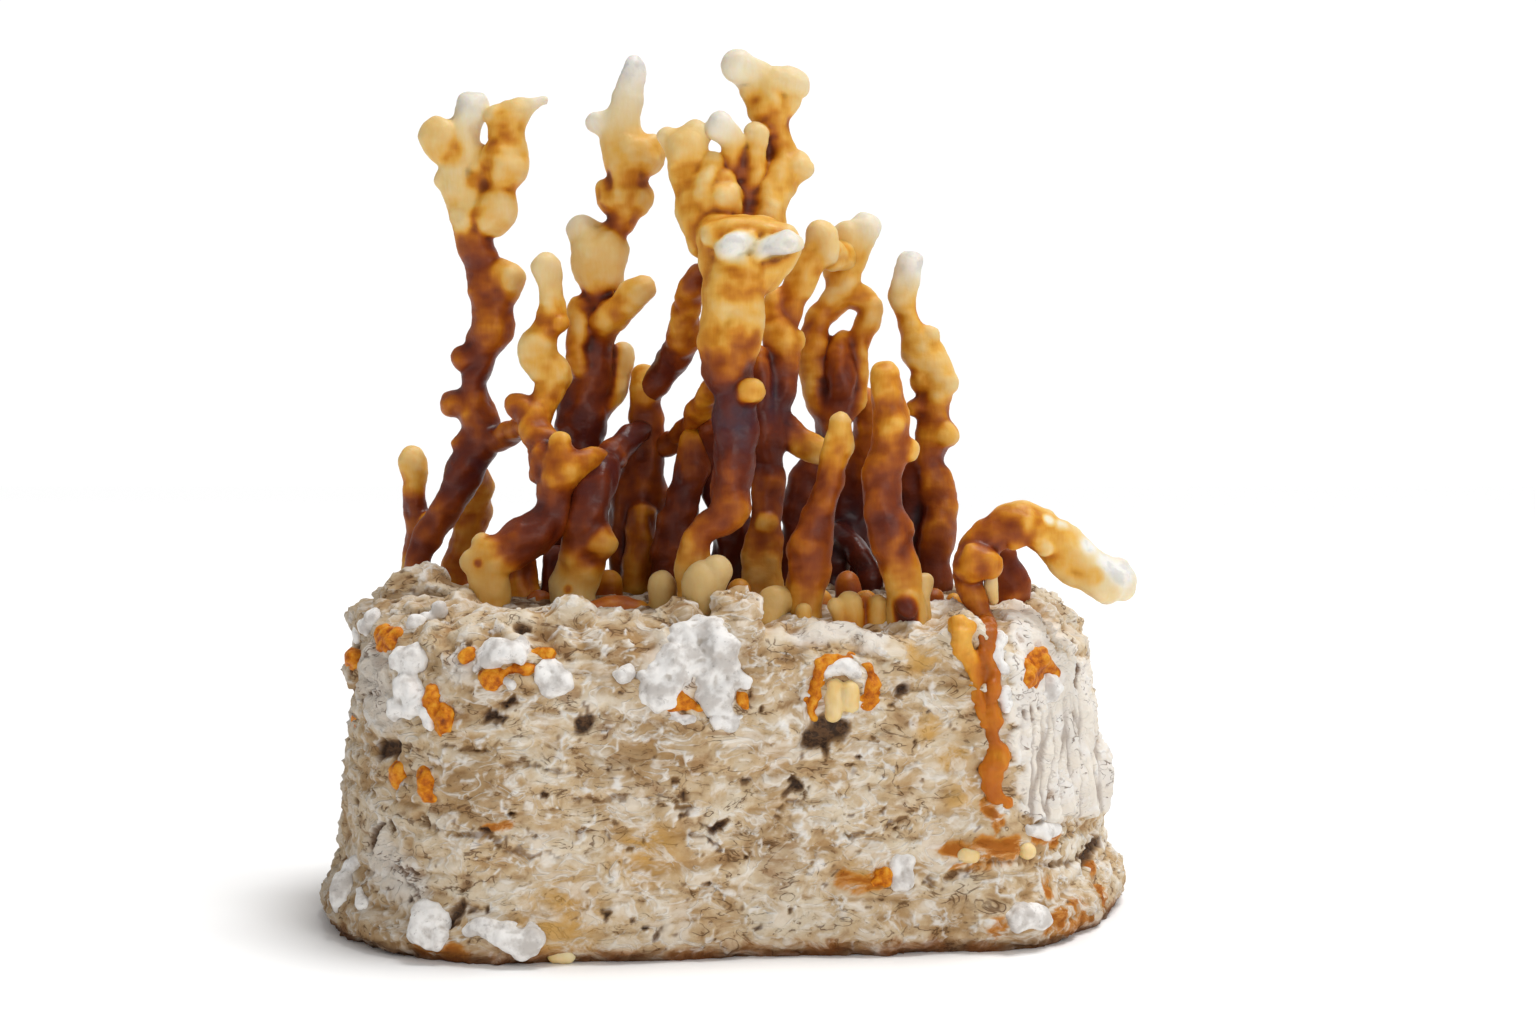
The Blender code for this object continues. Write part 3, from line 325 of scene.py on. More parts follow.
        [(66.4, 60, -37, 3.4, 66), (64.2, 72, -37, 3.3, 64), (62, 79.6, -36, 3.1, 60),
         (62.8, 86.4, -35, 4.6, 50), (68.4, 93, -34, 4.2, 57), (75.6, 94.8, -33, 5.4, 48),
         (81.8, 91.6, -31, 4.9, 40), (86.6, 86.8, -30, 5.4, 32), (91.8, 82.8, -30, 5.2, 22),
         (96.6, 81, -30, 5.3, 6)],
        [(62.6, 85.6, -38.4, 5, 57), (66, 85, -39, 3.9, 58)],
        [(96.6, 81, -30, 4.6, 8), (99.6, 83.4, -30, 2.9, 1), (99.8, 78.6, -30, 3, 12)],
        [(70.6, 96, -33, 3, 40), (75.4, 97.2, -33, 3.2, 32), (80.4, 96, -32, 3, 16)],
        [(72.6, 92, -35, 2.8, 58), (77, 92, -35, 2.6, 52), (80.4, 89.4, -34, 3, 44)],
        [(84, 93.2, -31, 3, 10), (88, 89.4, -30, 3.2, 5), (91.8, 86, -30, 3.1, 3),
         (96.6, 83.8, -30, 3, 1)],
        [(88, 82.4, -32, 2.8, 30), (94.6, 78.6, -32, 2.8, 18)],
    ]),
    ("corner_dark_stub_skin", "mahogany_tissue", ["corner_dark_stub"], [
        [(71.4, 68, -12, 5.2, 42), (71.2, 80, -12, 4.7, 68), (70.4, 86, -12, 3.6, 80)],
    ]),
]

# Small spots of another ripeness on the skins, some of them painted highlights and painted shade: across,
# up, depth, radius, ripeness.
SKIN_SPOTS = [
    (-61.4, 85.2, -28.8, 1.1, 50), (-38.8, 78.6, -21.6, 1.1, 52), (-62, 181, 4, 2.2, 40),
    (-66, 171, 5, 3, 22), (-61.5, 172, 5, 2, 55), (-68.5, 190, 4, 2.6, 30), (-58, 189, 2, 2.5, 54),
    (2.4, 147, -41, 3.4, 24), (4, 134.5, -40, 4, 54), (8.6, 140.6, -38, 2.4, 52), (2, 171, -38, 3, 36),
    (8, 170.6, -38, 3.4, 36), (13, 169.6, -38, 2.4, 38), (-1.6, 168.4, -38, 2.2, 38),
    (3, 164.6, -43.4, 4.4, 0), (12, 164.2, -43.6, 2.8, 0), (15.8, 165, -43.4, 3.2, 2),
    (4, 155, -42, 4, 44), (-58.4, 185, 3, 2.6, 47), (-68, 187.6, 5, 3, 38), (-23.2, 178.8, 1, 2.6, 47),
    (6.8, 198.6, -21, 3, 46), (3.2, 143.6, -42, 3, 46), (-56, 196, 3, 2.4, 42),
    (-16.4, 184.4, 1, 2.4, 42), (-52, 187, 2, 2.6, 24), (-55, 175, 2, 2.6, 24),
    (-60.6, 173.4, 3, 1.8, 46), (-64, 176, 4, 2.6, 22), (81.4, 96, -35, 1.5, 6),
    (84.8, 94.6, -34, 1.8, 6), (85.2, 90.6, -35, 3.2, 36), (91, 89, -33, 2.6, 1), (96, 85.6, -34, 3, 0),
    (99, 82.4, -33, 3, 0), (92.6, 82, -35, 2.2, 36), (88.8, 83.6, -35, 2.2, 32), (95.8, 77, -34, 3, 16),
    (82.4, 91, -36, 2.4, 34), (72.6, 93.5, -38, 2.4, 62), (76, 92.5, -37, 2, 58),
    (-34, 121, 1, 3.6, 84), (40.6, 95, -48, 3, 80), (45.4, 73, -48.8, 3.8, 82),
    (45.6, 69.6, -48.8, 3.8, 82), (-25.8, 151, -5, 2, 42), (50, 139, 2, 1.6, 26), (47, 133, 2, 2, 52),
]

# The grow block's outline and levels, as in the solid.
BLOCK_OUTLINE = [
    (-100, -6), (-96.5, -29), (-86, -52), (-66, -68), (-40, -70), (0, -65), (30, -62), (54, -59),
    (74, -56), (88, -38), (100, -12), (101, 14), (94, 40), (74, 54), (36, 60), (0, 62), (-44, 60),
    (-78, 51), (-96, 28),
]
BLOCK_LEVELS = [
    (-4, 0.955, 0.93), (0, 0.975, 0.96), (3, 0.995, 0.99), (6, 1, 1), (9, 0.985, 0.985),
    (13, 0.955, 0.965), (18, 0.94, 0.95), (26, 0.937, 0.945), (38, 0.93, 0.935), (52, 0.922, 0.92),
    (64, 0.9, 0.905), (71, 0.87, 0.885), (75.5, 0.83, 0.82), (77.5, 0.66, 0.62), (78.5, 0.3, 0.3),
]
OUTLINE_STEPS = 6
BLOCK_VOXEL = 0.84
BLOCK_SOFTENING = 4
CRUST_SINK = 0.9
BOX_SPARE = 0.05

# Soft mounds of mycelium on the rim: runs of (across, up, depth, radius).
MOUNDS = [
    [(-84, 68, 4, 9), (-80, 71, 8, 9)],
    [(-80, 68, -24, 8), (-66, 70, -30, 8)],
    [(74, 64, 2, 8), (68, 66, 14, 8)],
    [(-88, 58, -22, 7)],
    [(-10.4, 66, -50, 5.4), (-10.6, 71, -48, 4.6), (-10.8, 75.4, -46, 2.8)],
    [(4, 68, -52, 6), (4.4, 73.5, -51, 5.2)],
    [(-56, 65.5, -54, 4), (-46, 69, -54, 4.2), (-38, 72.4, -52, 4), (-34.4, 69, -52, 3.2)],
    [(-82, 76, -14, 4.4), (-74, 79.6, -14, 4), (-69, 77, -16, 3.4)],
    [(-86, 70, -22, 4.6), (-78, 73, -26, 4.2), (-70, 72, -34, 4)],
    [(76, 74, -6, 4.6), (82, 71, -6, 4.4), (86, 66, -4, 4)],
]

# What shows on the block's faces, as runs of (across, up, radius). First, what stands out from it.
WHITE_LUMPS = [
    [(-9.6, 66.4, 4.2), (-4.6, 66.8, 4.6), (-0.8, 64.8, 3.8)],
    [(-10.6, 61.6, 4.2), (-5.2, 61, 4.8), (-0.6, 60, 4)],
    [(-17.8, 57, 3.2), (-14.2, 59, 3.6), (-12, 56.8, 3.8), (-14.6, 54, 3.4)],
    [(-18.8, 53.4, 2.6), (-16.2, 50.6, 2.6), (-13.2, 50.4, 2)],
    [(-3.2, 56, 3), (-3.8, 53, 2.8), (-2.6, 49.6, 2.4), (0.8, 48.8, 2.4)],
    [(-91, 67, 2.4)], [(-89.6, 70, 2.6)], [(-87, 71.6, 2.4)], [(-76.6, 70.6, 2.4)], [(-74, 71.4, 2.2)],
    [(-70.6, 74, 2.2)],
    [(69.6, 66.4, 2), (68.6, 62.8, 2.2), (69.4, 58.8, 2)],
    [(70.4, 53.4, 1.6), (71.2, 49.4, 1.5)],
    [(82, 53.4, 3.6)],
    [(-77.4, 60.8, 4.2), (-80.6, 61.8, 2.8)],
    [(-78.5, 53, 4.5), (-75.8, 51, 3.5), (-81.2, 49, 3.2)],
    [(-74, 47, 2.2), (-73, 44.5, 1.8)],
    [(-58.8, 62.2, 3.5), (-55.8, 63.5, 3.5), (-52.8, 63, 3)],
    [(-50, 64.2, 2.5), (-51, 62.2, 2.2)],
    [(-61.8, 59, 1.5)], [(-53.2, 55.5, 2)],
    [(-43.8, 58, 3.8), (-41.8, 55.5, 3.5), (-43.5, 54.5, 3)],
    [(-25.2, 57, 2.2), (-23.8, 59, 1.5)],
    [(0.2, 54.6, 3.4), (-0.6, 52, 3.4), (0.4, 49.6, 2.4)],
    [(3, 56.6, 2.2), (5.4, 55, 1.8)],
    [(-1.2, 45.2, 1.8), (1.6, 44.8, 2), (4.2, 46.4, 1.7)],
    [(-12.4, 46.8, 1.5), (-10, 46.4, 1.6), (-7.8, 46.8, 1.3)],
    [(27, 58.2, 2), (30, 59.4, 2.6), (33, 57.8, 2.2)],
    [(76.4, 18.6, 1.8), (79.8, 18.2, 1.9), (83.4, 18.6, 1.6)],
    [(44.2, 10.2, 2.9), (44.6, 7.8, 3.1), (44.8, 5.6, 2.6)],
    [(73.8, -3.5, 2.8), (77.2, -2.5, 3.2), (80.8, -4, 2.2)],
    [(-74.8, -2.5, 3.2), (-72.5, -4.5, 3.8), (-75.8, -7, 3.5), (-71.8, -8, 2.8)],
    [(-63.2, -6, 2.2), (-60.2, -5.2, 2.5), (-57.2, -7, 2.8)],
    [(-54.2, -8, 3.5), (-50.8, -9.5, 3.5), (-47.2, -9, 3)],
    [(-95, 2.8, 4.4), (-94.4, 5.5, 3.4)],
    [(-93, 9.2, 2.6), (-92, 11, 2)],
    [(-90.8, 3, 1.5), (-90, 0, 2)],
]
ORANGE_LUMPS = [
    [(-92.5, 62, 3), (-91.8, 60.5, 2.2)],
    [(-92, 46.5, 2.2)],
    [(-84.2, 68, 2.8), (-82.8, 66, 3), (-85, 64.5, 2.2)],
    [(-73.2, 53.5, 2.2), (-72.5, 49.5, 2.5), (-69.5, 46.5, 3.2), (-70.5, 44.2, 2.5)],
    [(-63.5, 61.8, 2.2), (-62.2, 63.2, 1.8)],
    [(-46.2, 63, 2), (-44, 62.5, 2)],
    [(-60, 57.5, 2), (-56.8, 56.8, 2.5), (-53.8, 58, 2.2), (-50.2, 58.2, 2.5), (-47.5, 59, 1.5)],
    [(-81.5, 33.5, 2.2), (-81.2, 31, 2.2)],
    [(-74.8, 31.5, 2.5), (-74.2, 28.5, 2.5), (-73.8, 26.5, 1.8)],
    [(-10.8, 53.4, 1.5), (-10.8, 50.6, 2.2), (-13, 48.8, 1.6)],
    [(-10.8, 49.6, 1.8), (-8.4, 49.4, 1.9), (-6, 48.8, 1.3)],
    [(4.6, 52, 1.7), (5, 49.4, 1.8)],
    [(22.6, 46.8, 1.2), (22.4, 51, 1.8), (23.4, 55.4, 1.6), (24.6, 59.4, 1.2), (28, 61.6, 1.1),
     (32, 61.8, 1.1)],
    [(36, 59.4, 1.6), (37.4, 56, 2), (37.4, 52.2, 2.3), (35.8, 49.2, 1.8)],
    [(76.4, 56.4, 2.2), (77, 59.6, 2.7), (80, 60.2, 2.7), (82.6, 59, 1.9)],
    [(78, 58, 2.7), (77.2, 55, 2), (79.4, 58, 2.2)],
    [(40.4, 7.2, 1.8), (37.4, 5.4, 1.6)],
]
CREAM_BEADS = [
    [(60.5, 12.2, 2), (62.2, 12, 2)],
    [(76.2, 12.8, 2.2)],
    [(-41.5, -13, 2.2), (-39.2, -13.2, 2)],
    [(28.2, 54.4, 2.2), (27.8, 50.4, 2.4), (27.6, 47.6, 2)],
    [(31.8, 53.6, 2.2), (31.8, 49.6, 2.2)],
]
# A rope of tissue down the front right corner: (across, up, radius, ripeness).
CORNER_BAND = [
    [(65.2, 70.4, 3, 66), (66, 68.4, 2.7, 56), (66.8, 65, 1.9, 62), (66.6, 60.6, 2.3, 42),
     (67.4, 57, 2, 58), (68, 54, 1.8, 40), (66.8, 50.4, 1.7, 56), (67.6, 46, 2.1, 41),
     (67.8, 41.4, 2, 56), (68.2, 36.6, 3.5, 40)],
    [(64.8, 66, 1.3, 72), (65, 58, 1.2, 74), (65.6, 50, 1.1, 72)],
    [(68, 36, 2.4, 54), (66.6, 31.6, 2.8, 44), (67.8, 28.4, 2, 56), (71.2, 25.4, 1.6, 44)],
    [(59.2, 69.4, 3.2, 34), (60.2, 66.4, 2.6, 30), (61.4, 62.8, 2, 36), (62.6, 57.4, 1.8, 36),
     (63.8, 51.2, 1.5, 42), (65.2, 45, 1.2, 50)],
]
# What only shapes and colours the crust.
PITS = [
    [(-52.2, 50.8, 1.8), (-54.2, 50.2, 1.2)],
    [(-58.2, 46.8, 1.5), (-55.8, 46.2, 1.2)],
    [(-34.5, 47, 2), (-35.5, 44.2, 1.5)],
    [(-85.8, 38.5, 3), (-82.8, 38.5, 2.5)],
    [(-87, 17.8, 1.8), (-87.8, 14.5, 2)],
    [(-82.8, 19, 1.5)], [(-45.2, 27, 1.2)], [(-53, 23, 1)],
    [(-60.8, 19.5, 1.2), (-58.8, 19, 1)],
    [(16.8, 31, 1.8), (18.2, 28.5, 1.5)],
    [(44.8, 53.5, 2.2)],
    [(-1.2, 19, 1.5), (1.2, 20.2, 1.2)],
    [(87.5, 58.5, 2.2), (87.5, 55.5, 2.2)],
    [(86.8, 46.5, 1.5)], [(88.5, 37, 1.5)],
    [(-66.5, -2, 2.2), (-67.2, -4.5, 1.8)],
    [(22.2, 41.5, 3.5), (25.8, 43.5, 3.8), (28.8, 44.5, 2.5)],
    [(25.2, 39, 1.8)],
    [(94.2, 16.5, 2), (92.2, 13.5, 2), (88.8, 11, 1.8)],
    [(-1.8, 48, 1.2)],
    [(-15.2, -6.5, 1.2), (-17.2, -7.2, 1)],
]
CREASES = [
    [(-76.5, 20, 1), (-70.8, 18.5, 1), (-63.2, 17, 1.2), (-59.2, 16.5, 1.2)],
    [(-59.2, 16.5, 1), (-50.8, 13, 1), (-40.8, 12, 0.8)],
    [(48, 5.2, 1), (55.5, 7, 1), (63, 9, 1), (70, 11.5, 0.8)],
    [(70, 11.5, 0.8), (81.8, 9.5, 1), (88, 10.5, 1)],
    [(14.2, 22.2, 0.8), (19.2, 26, 0.8), (20.8, 28, 0.8)],
    [(-15.8, 26, 0.8), (-8.2, 23.5, 0.8), (-2, 19, 0.8), (3, 21, 0.8)],
    [(-8.2, 18, 0.8), (-0.8, 14.8, 0.8), (1.8, 10.5, 0.8)],
    [(-80.8, 8.5, 0.8), (-76.2, 2.2, 0.8), (-75.2, -0.2, 0.8)],
    [(-37, 27.2, 0.8), (-28.2, 26, 0.8), (-18.2, 27.2, 0.8)],
    [(31.8, 17, 0.8), (39.2, 19, 0.8), (45.5, 22.2, 0.8)],
    [(-70.8, 39.8, 0.8), (-63.2, 38, 0.8), (-55.8, 39.8, 0.8)],
    [(-55.8, 33.5, 0.8), (-45.8, 34.8, 0.8), (-35.8, 32.2, 0.8)],
]
OCHRE_STAINS = [
    [(-39.5, -4.8, 10)], [(-18.5, 12.5, 7.5)], [(52, 45, 4)], [(57, 36, 4)], [(50, 62, 5)],
    [(60, 27, 4)], [(36, 7, 4)],
]
RUST_STAINS = [
    [(-68.2, -13, 5)], [(-75.8, -11, 4)],
    [(52, 13, 2.4), (56, 13.6, 3), (62, 11.6, 4), (68, 12.6, 4.4), (73, 13.4, 3.4)],
    [(66.6, 24, 2.6), (68, 20.6, 2.4)],
    [(79, 17, 2.6), (83, 16.4, 2.2)],
    [(30, 5, 3), (34.6, 5, 3), (39, 7, 3)],
    [(81, 3.6, 2.8)], [(92, 9.6, 3)], [(68.5, -6.5, 4)], [(95.6, 1.6, 5)],
    [(90, -2, 5), (82, -5, 4)],
    [(-60, 19.4, 1.6), (-55, 19.8, 2.2)],
]
BROWN_PATCHES = [
    [(5.2, 70, 5.5), (5.2, 62, 6), (6.5, 54, 4)],
    [(-9, 74, 4.5), (-10, 69, 4)],
    [(-25.8, 58.5, 7.5), (-30, 65, 7)],
    [(-42, 66.5, 6.5)], [(14, 14, 9)], [(-60, 52, 8)], [(-20, 38, 14)], [(-60, 28, 12)], [(20, 50, 6)],
]
WHITE_PATCHES = [
    [(-12, 60, 8), (-14, 54, 6), (-4, 63, 7), (-2, 55, 7)],
    [(20, 67, 4), (30, 69, 4), (38, 67, 4)],
    [(-88, 60, 9), (-84, 50, 8)],
    [(-66, 60, 5)], [(84, 26, 8)],
    [(77, 73, 6), (86, 65, 6)],
    [(-86, 12, 8), (-78, 4, 6)],
]
# The thick white sheet that hangs down the right corner in flutes.
WHITE_SHEET = [
    [(73, 71, 3.6), (78, 71, 4), (74, 66, 4.4), (80, 64, 5)],
    [(73, 59, 4), (80, 56, 7), (90, 56, 6)],
    [(73.6, 50, 4.6), (82, 47, 8), (92, 46, 6)],
    [(74.4, 40, 4.6), (82, 38, 8), (93, 36, 6)],
    [(76.6, 31, 4.6), (84, 30, 7), (94, 29, 5)],
    [(75.6, 24.6, 2.4), (79.4, 23.6, 2.6), (84.6, 24.4, 3), (90, 24.4, 3), (94.4, 25, 2.6)],
]

# Colours as seen on a screen, at values from 0 to 1.
RIPENESS_COLOURS = [
    (0, (234, 232, 226)), (0.1, (231, 216, 180)), (0.2, (229, 197, 132)), (0.3, (227, 173, 74)),
    (0.38, (209, 138, 30)), (0.45, (184, 105, 10)), (0.52, (156, 77, 8)), (0.6, (130, 56, 12)),
    (0.68, (110, 42, 14)), (0.76, (96, 36, 20)), (0.84, (88, 36, 32)), (0.92, (76, 38, 44)),
    (1, (66, 46, 58)),
]
ORANGE_COLOURS = [
    (0.45, (226, 158, 44)), (0.62, (208, 122, 10)), (0.76, (172, 86, 4)), (0.92, (108, 50, 8)),
]
CRUST_COLOURS = [(0.36, (182, 148, 104)), (0.5, (203, 177, 140)), (0.64, (218, 202, 176))]

# How much orange the ripe parts of the corner band take on.
BAND_ORANGE = 0.3

# Small buds along the top of the block: runs of (across, up, depth, radius, ripeness).
BUDS = [
    [(-15, 74, -33, 3, 20), (-15, 79, -33, 3.8, 15)],
    [(-5.2, 73, -44, 4, 18), (-5.2, 80.6, -44, 4.9, 14)],
    [(-4, 78, -44, 4, 16), (-1.4, 83.2, -44, 3.7, 12)],
    [(11.6, 70, -42, 3.4, 24), (12.8, 76, -40, 3.8, 16), (16, 75.4, -39, 2.6, 26)],
    [(20.4, 70, -45, 2, 46), (20.2, 73.4, -44, 2, 30)],
    [(31.4, 69, -43.4, 3, 50), (31.8, 75.2, -43, 3.2, 20)],
    [(29.2, 70, -45, 2, 34), (28, 74.4, -45, 1.9, 18)],
    [(35.2, 70, -41, 2, 66), (35.6, 75.4, -39, 2, 56)],
    [(38.4, 69, -42, 2.4, 44), (38.8, 75, -41, 2.4, 22)],
    [(49.6, 70, -40, 2.6, 30), (49.4, 76, -40, 2.6, 18), (50.2, 80.4, -38, 2.7, 15)],
    [(67.6, 76, -36, 1.6, 34), (66.8, 80, -36, 1.9, 18), (66.9, 82, -36, 1.6, 14)],
    [(-33, 71.4, -34, 4, 56), (-27, 73, -32, 4.2, 54), (-21.6, 72.6, -32, 3.4, 50)],
    [(-47, 71, -12, 4, 54), (-46, 75.4, -12, 3.4, 58)],
    [(-28.4, 74, -6, 4, 56), (-29, 80, -6, 3.4, 48)],
    [(-13.6, 72, -22, 3, 50), (-12.6, 75.6, -22, 2.6, 40)],
    [(3.4, 73, -22, 3.6, 56), (4, 78, -22, 3, 46)],
    [(16, 73, -24, 3, 50), (16.8, 77, -24, 2.6, 36)],
    [(25, 72, -28, 3.4, 54), (24.6, 76, -27, 2.6, 40)],
    [(32, 74, -14, 4, 64), (31, 80, -13, 3.2, 56)],
    [(36.6, 72, -24, 3.4, 60), (35.4, 75.6, -23, 2.8, 48)],
    [(51.6, 72, -20, 3.6, 64), (52.4, 76, -19, 2.8, 56)],
    [(57.8, 72, -26, 3, 60), (57.6, 75.4, -25, 2.4, 48)],
]


def sight_axes():
    """The forward, right and up directions of the eye."""
    forward = (LOOKED_AT - EYE).normalized()
    right = forward.cross(Vector((0, 0, 1))).normalized()
    return forward, right, right.cross(forward)


def sight_ray(across, up):
    """The direction in which the eye sees a point of the sheet."""
    forward, right, upward = sight_axes()
    return forward * SHEET_DISTANCE + right * (across - LOOKED_AT.x) + upward * (up - LOOKED_AT.z)


def joint_in_space(across, up, depth, radius):
    """A joint slid along its line of sight to its real depth: (x, y, z, radius) in millimetres."""
    ray = sight_ray(across, up)
    reach = (depth - EYE.y) / ray.y
    return (*(EYE + ray * reach), radius * reach * THICKEN)


def blend_run(rows, step):
    """A smooth curve through rows of numbers, with a row about every step of length."""
    rows = np.array(rows, float)
    if len(rows) == 1:
        return rows
    before = np.vstack([2 * rows[0] - rows[1], rows[:-1]])
    after = np.vstack([rows[1:], 2 * rows[-1] - rows[-2]])
    slopes = (after - before) / 2
    drawn = []
    for i in range(len(rows) - 1):
        start, end = rows[i], rows[i + 1]
        count = max(2, int(np.linalg.norm(end[:3] - start[:3]) / step))
        for t in np.arange(count) / count:
            bent = (
                (2 * t**3 - 3 * t**2 + 1) * start + (t**3 - 2 * t**2 + t) * slopes[i]
                + (3 * t**2 - 2 * t**3) * end + (t**3 - t**2) * slopes[i + 1]
            )
            straight = start + (end - start) * t
            drawn.append(np.concatenate([bent[:3], (bent[3:] + straight[3:]) / 2]))
    drawn.append(rows[-1])
    return np.array(drawn)


def balls_of(runs):
    """Balls (x, y, z, radius, ripeness) close together along every run of joints."""
    placed = [
        [(*joint_in_space(*joint[:4]), joint[4]) for joint in run]
        for run in runs
    ]
    return np.vstack([blend_run(rows, RUN_STEP) for rows in placed])


def ball_template():
    """The points and faces of a ball of radius one."""
    bm = bmesh.new()
    bmesh.ops.create_icosphere(bm, subdivisions=3, radius=1)
    points = np.array([vertex.co for vertex in bm.verts])
    faces = np.array([[vertex.index for vertex in face.verts] for face in bm.faces])
    bm.free()
    return points, faces


def object_from(name, points, faces):
    """A mesh object from points in millimetres, and the numbers of each face's points."""
    mesh = bpy.data.meshes.new(name)
    mesh.from_pydata((points * MM).tolist(), [], faces)
    made = bpy.data.objects.new(name, mesh)
    bpy.context.scene.collection.objects.link(made)
    return made


def object_of_balls(name, balls):
    """One object with a ball for each row (x, y, z, radius, ...)."""
    template, faces = ball_template()
    points = balls[:, None, :3] + template[None] * balls[:, None, 3:4]
    shifted = faces[None] + len(template) * np.arange(len(balls))[:, None, None]
    return object_from(name, points.reshape(-1, 3), shifted.reshape(-1, 3).tolist())


def apply_modifiers(obj):
    """Keep the shape that the modifiers make, and drop them."""
    evaluated = obj.evaluated_get(bpy.context.evaluated_depsgraph_get())
    shaped = bpy.data.meshes.new_from_object(evaluated)
    obj.modifiers.clear()
    obj.data = shaped


def blend_into_skin(obj, voxel, softening):
    """One closed skin round everything in the object, with its creases softened."""
    remesh = obj.modifiers.new("skin", "REMESH")
    remesh.mode = "VOXEL"
    remesh.voxel_size = voxel * MM
    smooth = obj.modifiers.new("soften", "SMOOTH")
    smooth.factor = 0.5
    smooth.iterations = softening
    apply_modifiers(obj)


def read_all(items, name, width, kind=float):
    """One property of every item, as rows of this many numbers."""
    values = np.empty(len(items) * width, kind)
    items.foreach_get(name, values)
    return values.reshape(-1, width)


def points_of(obj):
    """The object's points in millimetres."""
    return read_all(obj.data.vertices, "co", 3) / MM


def normals_of(obj):
    return read_all(obj.data.vertex_normals, "vector", 3)


def edges_of(obj):
    return read_all(obj.data.edges, "vertices", 2, np.int64)


def put_points(obj, points):
    obj.data.vertices.foreach_set("co", (points * MM).ravel())
    obj.data.update()


def put_values(obj, name, values):
    """A value from 0 to 1 at each point, for the materials."""
    attribute = obj.data.attributes.new(name, "FLOAT", "POINT")
    attribute.data.foreach_set("value", np.clip(values, 0, 1).astype(np.float32))


def spread(values, edges, steps):
    """Values averaged with their neighbours along the edges, this many times."""
    count = np.bincount(edges.ravel(), minlength=len(values))
    for _ in range(steps):
        around = np.bincount(edges[:, 0], values[edges[:, 1]], len(values))
        around += np.bincount(edges[:, 1], values[edges[:, 0]], len(values))
        values = (values + around / np.maximum(count, 1)) / 2
    return values


def hollowness(points, normals, edges, steps):
    """How far each point lies below its surroundings, in millimetres."""
    around = np.stack([spread(points[:, axis], edges, steps) for axis in range(3)], axis=1)
    return ((around - points) * normals).sum(axis=1)


SLOPES = np.array([
    (1, 1, 0), (-1, 1, 0), (1, -1, 0), (-1, -1, 0), (1, 0, 1), (-1, 0, 1),
    (1, 0, -1), (-1, 0, -1), (0, 1, 1), (0, -1, 1), (0, 1, -1), (0, -1, -1),
], float)


def scramble(cells, seed):
    """A repeatable large number for each lattice cell."""
    code = cells[:, 0] * 73856093 ^ cells[:, 1] * 19349663 ^ cells[:, 2] * 83492791 ^ seed * 50331653
    code = (code ^ code >> 13) * 1274126177 & 0x7FFFFFFF
    code = (code ^ code >> 15) * 668265263 & 0x7FFFFFFF
    return code ^ code >> 11


def waves(points, size, seed=0):
    """Smooth noise from about -1 to 1, with features of this size or (x, y, z) sizes."""
    points = points / np.array(size)
    cells = np.floor(points).astype(np.int64)
    inside = points - cells
    fade = inside**3 * (inside * (inside * 6 - 15) + 10)
    total = np.zeros(len(points))
    for corner in itertools.product((0, 1), repeat=3):
        corner = np.array(corner)
        slope = SLOPES[scramble(cells + corner, seed) % len(SLOPES)]
        weight = np.prod(np.where(corner, fade, 1 - fade), axis=1)
        total += weight * ((inside - corner) * slope).sum(axis=1)
    return total


def summed_waves(points, table):
    """The waves of a table of (size, seed, height), added up."""
    return sum(waves(points, size, seed) * height for size, seed, height in table)


def sway(points, size, seed, reach):
    """A push of at most about this reach, in a direction that varies from place to place."""
    return np.stack([waves(points, size, seed + k) for k in range(3)], axis=1) * reach


def seeds_near(points, size, seed=0):
    """The distance to the nearest seed, one to a cell of this size, and that seed's number, 0 to 1."""
    points = points / np.array(size)
    cells = np.floor(points).astype(np.int64)
    nearest = np.full(len(points), 9.0)
    number = np.zeros(len(points))
    for corner in itertools.product((-1, 0, 1), repeat=3):
        cell = cells + np.array(corner)
        spot = np.stack([scramble(cell, seed + k) % 1024 / 1024 for k in (1, 2, 3)], axis=1)
        distance = np.linalg.norm(cell + spot - points, axis=1)
        closer = distance < nearest
        nearest = np.where(closer, distance, nearest)
        number = np.where(closer, scramble(cell, seed + 4) % 1024 / 1024, number)
    return nearest, number


def dots(points, size, seed, numbers, edge):
    """Round dots at the seeds past these numbers, fading between two distances."""
    distance, number = seeds_near(points, size, seed)
    return ease(number, *numbers) * (1 - ease(distance, *edge))


def ease(values, low, high):
    """Nothing below low, one above high, and a smooth rise between them."""
    t = np.clip((values - low) / (high - low), 0, 1)
    return t * t * (3 - 2 * t)


def ripeness_at(points, balls, batch=4000, blend=0.7):
    """Each point's ripeness, 0 to 100, from the balls whose skins are nearest to it."""
    ripeness = np.empty(len(points))
    for start in range(0, len(points), batch):
        some = points[start:start + batch]
        away = np.linalg.norm(some[:, None] - balls[None, :, :3], axis=2) - balls[None, :, 3]
        away -= away.min(axis=1, keepdims=True)
        weight = np.exp(-away / blend)
        ripeness[start:start + batch] = weight @ balls[:, 4] / weight.sum(axis=1)
    return ripeness


def add_spots(points, ripeness):
    """Blend the small spots of another ripeness in."""
    for across, up, depth, radius, spot_ripeness in SKIN_SPOTS:
        x, y, z, reach = joint_in_space(across, up, depth, radius)
        away = np.linalg.norm(points - (x, y, z), axis=1)
        near = ease(-away, -1.5 * reach, -0.5 * reach)
        ripeness = ripeness + (spot_ripeness - ripeness) * near
    return ripeness


